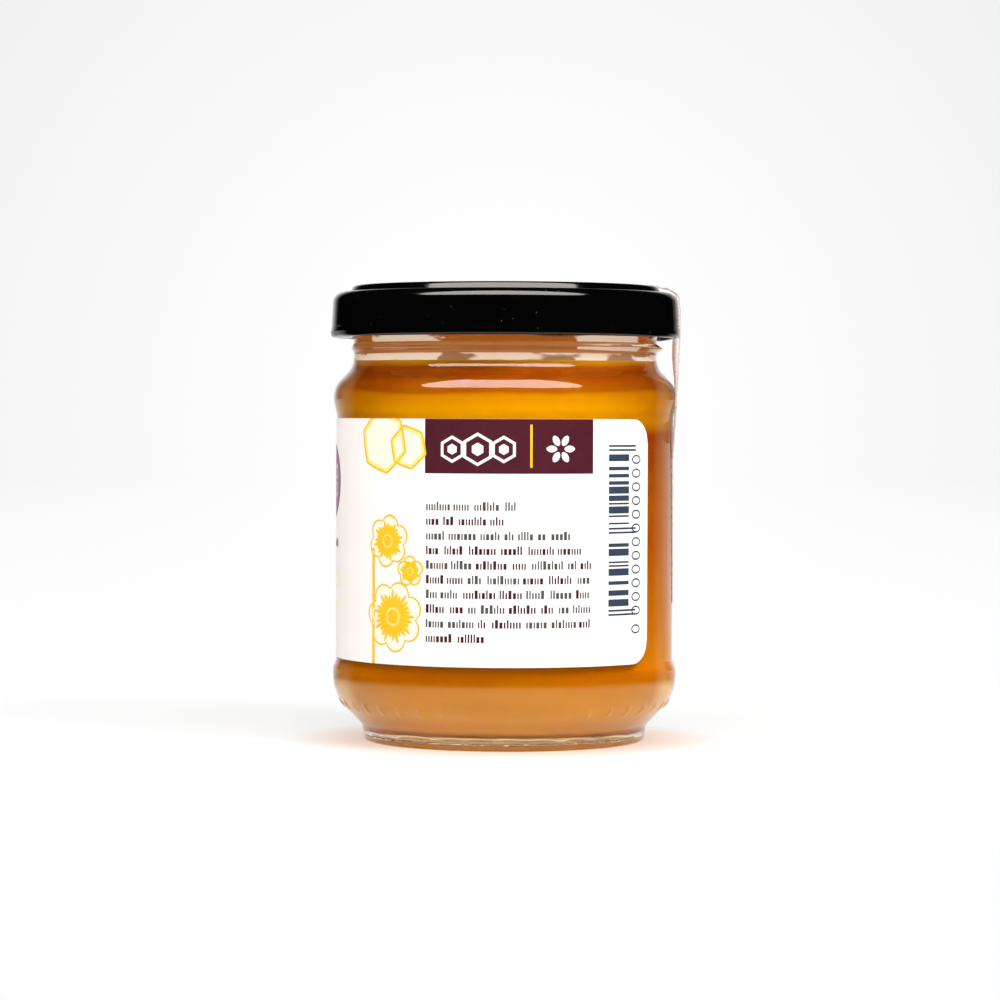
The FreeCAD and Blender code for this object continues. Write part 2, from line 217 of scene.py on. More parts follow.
@dataclass
class Surface:
    """Points and faces on their way to becoming one piece.

    Attributes:
        points: The vertices in millimetres.
        faces: The faces, each a list of vertex numbers.
        slots: The material slot of each face.
        flat: The own flat coordinates of each vertex, in millimetres.
    """

    points: np.ndarray
    faces: list[np.ndarray] = field(default_factory=list)
    slots: list[np.ndarray] = field(default_factory=list)
    flat: np.ndarray | None = None

    @staticmethod
    def grid(points: np.ndarray, closed_across: bool = False, closed_along: bool = False,
             slot: np.ndarray | int = 0, flat: np.ndarray | None = None) -> "Surface":
        """Joins a grid of points into four-sided faces.

        Args:
            points: An array of rows by columns by 3.
            closed_across: Joins each row's last column to its first.
            closed_along: Joins the last row to the first.
            slot: The material slot, or one for each row of faces.
            flat: The flat coordinates, rows by columns by 2.

        Returns:
            The surface.
        """
        rows, columns = points.shape[:2]
        numbers = np.arange(rows * columns).reshape(rows, columns)
        if closed_across:
            numbers = np.concatenate([numbers, numbers[:, :1]], axis=1)
        if closed_along:
            numbers = np.concatenate([numbers, numbers[:1]], axis=0)
        quads = np.stack(
            [numbers[:-1, :-1], numbers[:-1, 1:], numbers[1:, 1:], numbers[1:, :-1]], axis=-1
        )
        slots = np.broadcast_to(np.asarray(slot).reshape(-1, 1), quads.shape[:2])
        return Surface(
            points.reshape(-1, 3),
            [quads.reshape(-1, 4)],
            [slots.reshape(-1).copy()],
            None if flat is None else flat.reshape(-1, 2),
        )

    @staticmethod
    def turned(radii: np.ndarray, heights: np.ndarray, angles: np.ndarray,
               slot: np.ndarray | int = 0) -> "Surface":
        """Turns a profile about the upright axis into a closed body.

        A point lies at radius times (cos, sin) of its angle, at its height. The profile
        runs from the axis to the axis, and each end becomes one pole.

        Args:
            radii: Radii, rows by columns, without the two poles.
            heights: Heights, rows by columns.
            angles: The columns' angles.
            slot: The material slot, or one for each row of faces.

        Returns:
            The surface, with its poles closed.
        """
        grid = np.stack([radii * np.cos(angles), radii * np.sin(angles), heights], axis=-1)
        surface = Surface.grid(grid, closed_across=True, slot=slot)
        rows, columns = radii.shape
        poles = np.array([[0, 0, heights[0].mean()], [0, 0, heights[-1].mean()]])
        surface.points = np.concatenate([surface.points, poles])
        first = np.arange(columns)
        after = np.roll(first, -1)
        last = first + (rows - 1) * columns
        tail = after + (rows - 1) * columns
        low_pole = np.full(columns, rows * columns)
        surface.faces.append(np.stack([low_pole, after, first], axis=1))
        surface.faces.append(np.stack([low_pole + 1, last, tail], axis=1))
        row_slots = np.asarray(slot).reshape(-1)
        surface.slots.append(np.full(columns, row_slots[0]))
        surface.slots.append(np.full(columns, row_slots[-1]))
        return surface

    @staticmethod
    def joined(parts: list["Surface"]) -> "Surface":
        """Puts several surfaces into one.

        Args:
            parts: The surfaces. They keep their flat coordinates if all have them.

        Returns:
            The whole.
        """
        offsets = np.cumsum([0] + [len(p.points) for p in parts[:-1]])
        whole = Surface(np.concatenate([p.points for p in parts]))
        for part, offset in zip(parts, offsets):
            whole.faces += [block + offset for block in part.faces]
            whole.slots += part.slots
        if all(p.flat is not None for p in parts):
            whole.flat = np.concatenate([p.flat for p in parts])
        return whole

    def piece(self, name: str, node: str | None, slot: Slot,
              materials: list[bpy.types.Material]) -> None:
        """Writes the surface to a mesh piece that rides on the jar.

        Args:
            name: The piece's name.
            node: The CAD node it stands for, if any.
            slot: The record's slot; it is not used.
            materials: Its materials, in the order of its face slots.
        """
        mesh = bpy.data.meshes.new(name)
        counts = np.concatenate([np.full(len(b), b.shape[1], np.int32) for b in self.faces])
        corners = np.concatenate([b.reshape(-1) for b in self.faces]).astype(np.int32)
        mesh.vertices.add(len(self.points))
        mesh.vertices.foreach_set("co", (self.points * MM).astype(np.float32).reshape(-1))
        mesh.loops.add(len(corners))
        mesh.loops.foreach_set("vertex_index", corners)
        mesh.polygons.add(len(counts))
        starts = np.concatenate([[0], np.cumsum(counts)[:-1]])
        mesh.polygons.foreach_set("loop_start", starts.astype(np.int32))
        mesh.polygons.foreach_set("material_index", np.concatenate(self.slots).astype(np.int32))
        mesh.polygons.foreach_set("use_smooth", np.full(len(counts), True))
        for material in materials:
            mesh.materials.append(material)
        mesh.update(calc_edges=True)
        if self.flat is not None:
            layer = mesh.uv_layers.new(name="Flat")
            layer.data.foreach_set("uv", self.flat[corners].astype(np.float32).reshape(-1))
        mesh.validate()
        mesh.set_sharp_from_angle(angle=SHARP_ANGLE)
        made = bpy.data.objects.new(name, mesh)
        bpy.context.scene.collection.objects.link(made)
        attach(made, "root")
        if node is not None:
            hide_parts(node)
        LOG.info("%s: %d vertices, %d faces", name, len(self.points), len(counts))


# --------------------------------------------------------------------------- materials


class Nodes:
    """The node tree of a material or a world, with short ways to add and join nodes."""

    def __init__(self, name: str, world: bool = False) -> None:
        """Starts a material or a world with an output and nothing else.

        Args:
            name: The name of the material or the world.
            world: Makes a world and no material.
        """
        self.owner = (bpy.data.worlds if world else bpy.data.materials).new(name)
        self.owner.use_nodes = True
        self.tree = self.owner.node_tree
        self.tree.nodes.clear()
        self.output = self.tree.nodes.new("ShaderNodeOutput" + ("World" if world else "Material"))

    def add(self, kind: str, inputs: dict | None = None,
            **settings: str | bool) -> bpy.types.Node:
        """Adds a node.

        Args:
            kind: The node's type, without its ShaderNode prefix.
            inputs: Values or output sockets by input name or number.
            **settings: The node's own settings.

        Returns:
            The node.
        """
        node = self.tree.nodes.new("ShaderNode" + kind)
        for key, value in settings.items():
            setattr(node, key, value)
        for key, value in (inputs or {}).items():
            if isinstance(value, bpy.types.NodeSocket):
                self.tree.links.new(value, node.inputs[key])
            elif isinstance(value, tuple) and len(value) == 3 and node.inputs[key].type == "RGBA":
                node.inputs[key].default_value = (*value, 1.0)
            else:
                node.inputs[key].default_value = value
        return node

    def math(self, operation: str, *values: Input,
             clamp: bool = False) -> bpy.types.NodeSocket:
        """Adds a Math node on the values and gives its result."""
        node = self.add("Math", dict(enumerate(values)), operation=operation, use_clamp=clamp)
        return node.outputs[0]

    def object_place(self) -> bpy.types.NodeSocket:
        """The piece's own coordinates, in metres."""
        return self.add("TexCoord").outputs["Object"]

    def stretched(self, place: bpy.types.NodeSocket, scale: Place) -> bpy.types.NodeSocket:
        """Coordinates multiplied along each axis."""
        return self.add("Mapping", {"Vector": place, "Scale": scale}).outputs[0]

    def noise(self, place: bpy.types.NodeSocket, scale: float,
              detail: float = 3.0) -> bpy.types.NodeSocket:
        """A noise value of 0 to 1, with its scale in lumps for each unit of length."""
        node = self.add("TexNoise", {"Vector": place, "Scale": scale, "Detail": detail})
        return node.outputs[0]

    def spread(self, value: bpy.types.NodeSocket, low: float, high: float,
               to_low: float = 0.0, to_high: float = 1.0) -> bpy.types.NodeSocket:
        """Stretches a value from one range to another, clamped."""
        ends = {"From Min": low, "From Max": high, "To Min": to_low, "To Max": to_high}
        return self.add("MapRange", {"Value": value, **ends}).outputs[0]

    def ramp(self, value: bpy.types.NodeSocket,
             stops: list[tuple[float, Colour]]) -> bpy.types.NodeSocket:
        """A colour ramp with the given stops of place and linear colour.

        Args:
            value: The place on the ramp, from 0 to 1.
            stops: Each stop's place and colour, in rising order.

        Returns:
            The ramp's colour.
        """
        node = self.add("ValToRGB", {0: value})
        elements = node.color_ramp.elements
        while len(elements) < len(stops):
            elements.new(0.5)
        for element, (place, colour) in zip(elements, stops):
            element.position = place
            element.color = (*colour, 1.0)
        return node.outputs[0]

    def mixed(self, share: Input, first: Input, second: Input,
              blend: str = "MIX") -> bpy.types.NodeSocket:
        """Mixes two colours by a share.

        Args:
            share: The second colour's share, from 0 to 1.
            first: The first colour.
            second: The second colour.
            blend: How the second colour acts on the first.

        Returns:
            The mixed colour.
        """
        node = self.add("Mix", data_type="RGBA", blend_type=blend)
        for key, value in ((0, share), (6, first), (7, second)):
            if isinstance(value, bpy.types.NodeSocket):
                self.tree.links.new(value, node.inputs[key])
            elif isinstance(value, tuple):
                node.inputs[key].default_value = (*value, 1.0)
            else:
                node.inputs[key].default_value = value
        return node.outputs[2]

    def bump(self, height: bpy.types.NodeSocket, strength: float, distance: float,
             normal: bpy.types.NodeSocket | None = None) -> bpy.types.NodeSocket:
        """A normal shifted by a height, with its distance in metres, on top of another one.

        Args:
            height: The height, from 0 to 1.
            strength: The share of the shift that shows.
            distance: How far a height of 1 stands out, in metres.
            normal: The normal that is shifted, or else the face's own.

        Returns:
            The shifted normal.
        """
        inputs = {"Height": height, "Strength": strength, "Distance": distance}
        if normal is not None:
            inputs["Normal"] = normal
        return self.add("Bump", inputs).outputs[0]

    def finish(self, shader: bpy.types.NodeSocket) -> bpy.types.Material | bpy.types.World:
        """Joins the shader to the output and gives the material or the world."""
        self.tree.links.new(shader, self.output.inputs["Surface"])
        return self.owner


@dataclass(frozen=True)
class ClearGlass:
    """Moulded flint glass with the slight waves of its moulding.

    Heights and reaches are in millimetres: the stipple lies under the push-up, and the
    foot's painted warm glow, which stands in for light through the honey, in a belt of
    the outer face.
    """

    name: str = "clear_glass"
    tint: Colour = (0.975, 0.985, 0.98)
    index: float = 1.5
    wave: float = 0.00006
    stipple: float = 0.005
    push_up_top: float = 1.9
    push_up_reach: float = 21.2
    foot_low: float = 1.4
    foot_high: float = 3.5
    painted_foot_glow: Colour = (0.78, 0.46, 0.14)
    painted_foot_streak: Colour = (0.3, 0.14, 0.04)

    def material(self) -> bpy.types.Material:
        """Glass that bends light, lets lamps reach what is inside, and is stippled underneath.

        Its foot belt is painted warm, as light through the honey would make it, with painted
        darker streaks.

        Returns:
            The material.
        """
        nodes = Nodes(self.name)
        place = nodes.object_place()
        waves = nodes.noise(nodes.stretched(place, (1, 1, 1.6)), 90.0, 2.0)
        height = nodes.add("SeparateXYZ", {0: place}).outputs["Z"]
        away = nodes.add("VectorMath", {0: place}, operation="LENGTH").outputs["Value"]
        top, reach = self.push_up_top, self.push_up_reach
        low_down = nodes.spread(height, top * MM, (top + 0.4) * MM, 1.0, 0.0)
        near_axis = nodes.spread(away, reach * MM, (reach + 1.0) * MM, 1.0, 0.0)
        under = nodes.math("MULTIPLY", low_down, near_axis)
        knurl = nodes.noise(nodes.stretched(place, (1, 1, 0)), 620.0, 1.0)
        rough = nodes.bump(nodes.math("MULTIPLY", knurl, under), 1.0, self.stipple)
        low, high = self.foot_low, self.foot_high
        above = nodes.spread(height, low * MM, (low + 0.7) * MM)
        below = nodes.spread(height, (high - 0.6) * MM, high * MM, 1.0, 0.0)
        foot = nodes.math("MULTIPLY", above, below)
        # Painted light: a warm belt on the foot, streaked darker, for the light through the honey.
        streaks = nodes.noise(nodes.stretched(place, (1, 1, 14)), 130.0, 3.0)
        warm = nodes.mixed(nodes.spread(streaks, 0.48, 0.62), self.painted_foot_glow, self.painted_foot_streak)
        glass = nodes.add(
            "BsdfPrincipled",
            {
                "Base Color": nodes.mixed(foot, self.tint, warm),
                "Roughness": 0.0,
                "IOR": self.index,
                "Transmission Weight": 1.0,
                "Normal": nodes.bump(waves, 0.35, self.wave, rough),
            },
        )
        clear = nodes.add("BsdfTransparent", {"Color": self.tint})
        path = nodes.add("LightPath")
        both = nodes.add(
            "MixShader",
            {0: path.outputs["Is Shadow Ray"], 1: glass.outputs[0], 2: clear.outputs[0]},
        )
        return nodes.finish(both.outputs[0])


@dataclass(frozen=True)
class HoneyFill:
    """Amber honey, deep and clear near the top, milky low down, with painted shade and light."""

    name: str = "honey_fill"
    glossy: bool = False
    scatter: float = 0.1
    cloud: Colour = linear(240, 170, 16)
    # Painted shade towards the sides that face +X and -X, above the label.
    side_shade: Colour = (0.62, 0.40, 0.5)
    # Painted reflection of the pale floor at those two edges.
    painted_edge_reflection: Colour = linear(255, 222, 160)
    low: float = 4.0
    high: float = 72.0
    # Each tone paints shade and light as well as the honey's colour: darker under the label and on
    # the shoulder under the lid, brighter above the label, at the top and at the bottom.
    tones_with_painted_light: tuple[tuple[float, int, int, int], ...] = (
        (4.0, 232, 148, 1),
        (5.4, 215, 135, 1),
        (7.0, 220, 144, 14),
        (9.0, 194, 123, 11),
        (11.0, 172, 106, 4),
        (12.6, 173, 93, 2),
        (13.8, 208, 110, 1),
        (15.4, 196, 114, 11),
        (22.0, 182, 104, 8),
        (34.0, 170, 84, 5),
        (50.0, 146, 58, 3),
        (58.0, 136, 48, 2),
        (60.2, 192, 127, 1),
        (63.0, 191, 128, 1),
        (65.2, 171, 107, 1),
        (65.6, 142, 70, 3),
        (68.0, 131, 51, 2),
        (69.6, 166, 75, 3),
        (71.5, 255, 190, 40),
    )

    def material(self) -> bpy.types.Material:
        """A soft amber body whose tone follows its height, with faint drifting streaks. Its
        tones by height paint shade and light as well as its colour: darker under the label
        and on the shoulder under the lid, brighter above the label, at the top and bottom.

        Above the label, painted shade makes it deeper towards the sides that face +X and
        -X. A painted reflection of the floor makes it pale at those two edges, most of all
        at the heel.

        Returns:
            The material.
        """
        nodes = Nodes(self.name)
        place = nodes.object_place()
        parts = nodes.add("SeparateXYZ", {0: place})
        drift = nodes.noise(nodes.stretched(place, (1, 1, 3.5)), 30.0, 4.0)
        shift = nodes.spread(drift, 0.3, 0.7, -0.4 * MM, 0.4 * MM)
        level = nodes.math("ADD", parts.outputs["Z"], shift)
        span = self.high - self.low
        share = nodes.spread(level, self.low * MM, self.high * MM)
        stops = [((z - self.low) / span, linear(r, g, b)) for z, r, g, b in self.tones_with_painted_light]
        body = nodes.ramp(share, stops)
        clouds = nodes.noise(nodes.stretched(place, (1, 1, 2.2)), 55.0, 5.0)
        body = nodes.mixed(nodes.spread(clouds, 0.35, 0.75, 0.0, 0.1), body, self.cloud)
        aside = nodes.math("ABSOLUTE", parts.outputs["X"])
        sideways = nodes.spread(aside, 17.0 * MM, 28.0 * MM)
        at_shoulder = nodes.spread(level, 58.0 * MM, 62.0 * MM, 0.0, 0.75)
        # Painted shade: darker towards the sides that face +X and -X, above the label.
        deep = nodes.math("MULTIPLY", sideways, at_shoulder)
        body = nodes.mixed(deep, body, self.side_shade, "MULTIPLY")
        flat = nodes.add("CombineXYZ", {0: parts.outputs["X"], 1: parts.outputs["Y"]}).outputs[0]
        # Painted reflection of the floor: pale at the +X and -X edges, most of all at the heel.
        reach = nodes.add("VectorMath", {0: flat}, operation="LENGTH").outputs["Value"]
        turned = nodes.math("DIVIDE", aside, nodes.math("MAXIMUM", reach, MM))
        amount = nodes.spread(level, 10.5 * MM, 13.5 * MM, 0.3, 0.12)
        pale = nodes.math("MULTIPLY", nodes.spread(turned, 0.89, 0.945), amount)
        pale = nodes.math("MULTIPLY", pale, nodes.spread(level, 5.2 * MM, 7.5 * MM))
        body = nodes.mixed(pale, body, self.painted_edge_reflection)
        settings = {
            "Base Color": body,
            "Roughness": 0.12 if self.glossy else 0.6,
            "Specular IOR Level": 0.5 if self.glossy else 0.0,
            "Subsurface Weight": self.scatter,
            "Subsurface Radius": (1.0, 0.45, 0.12),
            "Subsurface Scale": 0.002,
        }
        honey = nodes.add("BsdfPrincipled", settings)
        return nodes.finish(honey.outputs[0])


@dataclass(frozen=True)
class HoneySmear:
    """Honey left on the inside of the neck, whole in places and pale and thin in others."""

    name: str = "honey_smear"
    whole: Colour = (0.48, 0.14, 0.012)
    bare: Colour = (0.91, 0.75, 0.59)
    streak: Colour = (0.53, 0.22, 0.07)
    deep_streak: Colour = (0.42, 0.14, 0.025)
    drop: Colour = (0.38, 0.20, 0.10)
    # The strength of the coat's painted glow, for the light that comes through the neck.
    painted_glow: float = 0.55
    windows: int = 4
    low_end: float = 72.9
    high_start: float = 74.8

    def material(self) -> bpy.types.Material:
        """A coat in three belts: pale with drops, streaked at the bead, and whole above. It
        glows with its own colour, a painted light for the light that comes through the neck.

        The bare places of the upper belt follow the cosine of a few turns of the angle.

        Returns:
            The material.
        """
        nodes = Nodes(self.name)
        place = nodes.object_place()
        parts = nodes.add("SeparateXYZ", {0: place})
        angle = nodes.math("ARCTAN2", parts.outputs["Y"], parts.outputs["X"])
        around = nodes.math("COSINE", nodes.math("MULTIPLY", angle, float(self.windows)))
        ragged = nodes.noise(nodes.stretched(place, (1, 1, 1.4)), 210.0, 3.0)
        full = nodes.spread(nodes.math("MULTIPLY_ADD", ragged, 2.6, around), 0.72, 0.95)
        lines = nodes.noise(nodes.stretched(place, (0.25, 0.25, 7.0)), 260.0, 2.0)
        drops = nodes.noise(nodes.stretched(place, (1, 1, 2.6)), 130.0, 2.0)
        dropped = nodes.spread(drops, 0.52, 0.58)
        lower = nodes.mixed(dropped, self.bare, self.drop)
        middle = nodes.mixed(nodes.spread(lines, 0.4, 0.6), self.streak, self.deep_streak)
        upper = nodes.mixed(full, self.bare, self.whole)
        coat = lower
        for start, belt in ((self.low_end, middle), (self.high_start, upper)):
            past = nodes.spread(parts.outputs["Z"], (start - 0.1) * MM, (start + 0.1) * MM)
            coat = nodes.mixed(past, coat, belt)
        film = nodes.add(
            "BsdfPrincipled",
            {
                "Base Color": coat,
                "Roughness": 0.3,
                "Specular IOR Level": 0.3,
                # Painted light: the coat glows with its own colour.
                "Emission Color": coat,
                "Emission Strength": self.painted_glow,
                "Alpha": nodes.spread(ragged, 0.3, 0.7, 0.82, 0.96),
            },
        )
        return nodes.finish(film.outputs[0])


@dataclass(frozen=True)
class GlossEnamel:
    """Black gloss enamel on pressed steel, with faint orange peel and a little dust."""

    name: str = "lid_enamel"
    colour: Colour = linear(3, 3, 3)
    dust: Colour = linear(120, 116, 110)

    def material(self) -> bpy.types.Material:
        """A dark glossy coat.

        Returns:
            The material.
        """
        nodes = Nodes(self.name)
        place = nodes.object_place()
        peel = nodes.noise(place, 1400.0, 2.0)
        specks = nodes.noise(place, 1900.0, 0.0)
        dusty = nodes.spread(specks, 0.845, 0.86, 0.0, 0.3)
        wear = nodes.noise(place, 160.0, 4.0)
        enamel = nodes.add(
            "BsdfPrincipled",
            {
                "Base Color": nodes.mixed(dusty, self.colour, self.dust),
                "Roughness": nodes.spread(wear, 0.3, 0.7, 0.07, 0.13),
                "IOR": 1.5,
                "Normal": nodes.bump(peel, 0.12, 0.00003),
            },
        )
        return nodes.finish(enamel.outputs[0])


@dataclass(frozen=True)
class LidLining:
    """The pale lacquer inside the lid."""

    name: str = "lid_lining"
    colour: Colour = linear(236, 226, 208)
    worn: Colour = linear(214, 196, 166)

    def material(self) -> bpy.types.Material:
        """A pale lacquer, uneven where it has been pressed.

        Returns:
            The material.
        """
        nodes = Nodes(self.name)
        cloud = nodes.noise(nodes.object_place(), 120.0, 3.0)
        lacquer = nodes.add(
            "BsdfPrincipled",
            {
                "Base Color": nodes.mixed(nodes.spread(cloud, 0.35, 0.7), self.colour, self.worn),
                "Roughness": nodes.spread(cloud, 0.3, 0.7, 0.3, 0.4),
            },
        )
        return nodes.finish(lacquer.outputs[0])


@dataclass(frozen=True)
class CoatedPaper:
    """White coated label paper."""

    name: str = "label_paper"
    colour: Colour = (0.905, 0.89, 0.88)
    warm: Colour = (0.89, 0.865, 0.845)
    front: Colour = (0.905, 0.85, 0.82)
    fibre: Colour = (0.82, 0.78, 0.76)

    def material(self) -> bpy.types.Material:
        """Smooth paper with a faint fibre and an uneven white, warmest round the front.

        Returns:
            The material.
        """
        nodes = Nodes(self.name)
        flat = nodes.add("UVMap", uv_map="Flat").outputs[0]
        fibre = nodes.noise(nodes.stretched(flat, (1, 1.6, 1)), 3.2, 6.0)
        cloud = nodes.noise(flat, 0.06, 3.0)
        tone = nodes.mixed(nodes.spread(cloud, 0.3, 0.7), self.colour, self.warm)
        aside = nodes.math("ABSOLUTE", nodes.add("SeparateXYZ", {0: flat}).outputs["X"])
        tone = nodes.mixed(nodes.spread(aside, 24.0, 46.0), self.front, tone)
        strands = nodes.spread(fibre, 0.3, 0.8, 0.0, 0.05)
        paper = nodes.add(
            "BsdfPrincipled",
            {
                "Base Color": nodes.mixed(strands, tone, self.fibre),
                "Roughness": nodes.spread(fibre, 0.3, 0.7, 0.42, 0.52),
                "Specular IOR Level": 0.35,
                "Normal": nodes.bump(fibre, 0.15, 0.00003),
            },
        )
        return nodes.finish(paper.outputs[0])


@dataclass(frozen=True)
class PrintInk:
    """A field of printing ink on the label."""

    name: str
    colour: Colour
    mottle: Colour

    def material(self) -> bpy.types.Material:
        """Ink with the fine mottle of offset printing.

        Returns:
            The material.
        """
        nodes = Nodes(self.name)
        flat = nodes.add("UVMap", uv_map="Flat").outputs[0]
        grain = nodes.noise(flat, 4.5, 4.0)
        cloud = nodes.noise(flat, 0.25, 3.0)
        patches = nodes.spread(cloud, 0.2, 0.8, 0.3, 1.0)
        share = nodes.math("MULTIPLY", nodes.spread(grain, 0.35, 0.75), patches)
        ink = nodes.add(
            "BsdfPrincipled",
            {
                "Base Color": nodes.mixed(share, self.colour, self.mottle),
                "Roughness": nodes.spread(grain, 0.3, 0.7, 0.38, 0.48),
                "Specular IOR Level": 0.18,
            },
        )
        return nodes.finish(ink.outputs[0])


@dataclass(frozen=True)
class SealFilm:
    """The thin milky film of the seal strip, with painted shade at its edges and creases."""

    name: str = "seal_film"
    colour: Colour = linear(250, 246, 242)
    # The colour of the painted shade at the strip's edges and in its creases.
    edge: Colour = linear(176, 136, 112)
    half_width: float = 4.5
    curl_height: float = 75.5

    def material(self) -> bpy.types.Material:
        """A glossy film that lets some of what is behind it through, most on the lid.

        Returns:
            The material.
        """
        nodes = Nodes(self.name)
        flat = nodes.add("UVMap", uv_map="Flat").outputs[0]
        crease = nodes.noise(nodes.stretched(flat, (0.5, 1.6, 1)), 0.8, 3.0)
        across = nodes.math("ABSOLUTE", nodes.add("SeparateXYZ", {0: flat}).outputs["X"])
        # Painted shade: browner towards both edges and in the creases.
        edge_shade = nodes.spread(across, self.half_width - 2.2, self.half_width - 0.6)
        crease_shade = nodes.spread(crease, 0.48, 0.66, 0.0, 0.55)
        painted_shade = nodes.math("MAXIMUM", edge_shade, crease_shade)
        height = nodes.add("SeparateXYZ", {0: nodes.object_place()}).outputs["Z"]
        low, high = (self.curl_height - 1.0) * MM, (self.curl_height + 1.0) * MM
        pressed = nodes.spread(height, low, high, 1.0, 0.5)
        cover = nodes.math("MULTIPLY", nodes.spread(painted_shade, 0.0, 1.0, 0.38, 0.86), pressed)
        film = nodes.add(
            "BsdfPrincipled",
            {
                "Base Color": nodes.mixed(painted_shade, self.colour, self.edge),
                "Roughness": nodes.spread(crease, 0.3, 0.7, 0.22, 0.36),
                "Normal": nodes.bump(crease, 0.4, 0.0003),
                "Alpha": cover,
            },
        )
        return nodes.finish(film.outputs[0])


# ----------------------------------------------------------------------- sub-assemblies


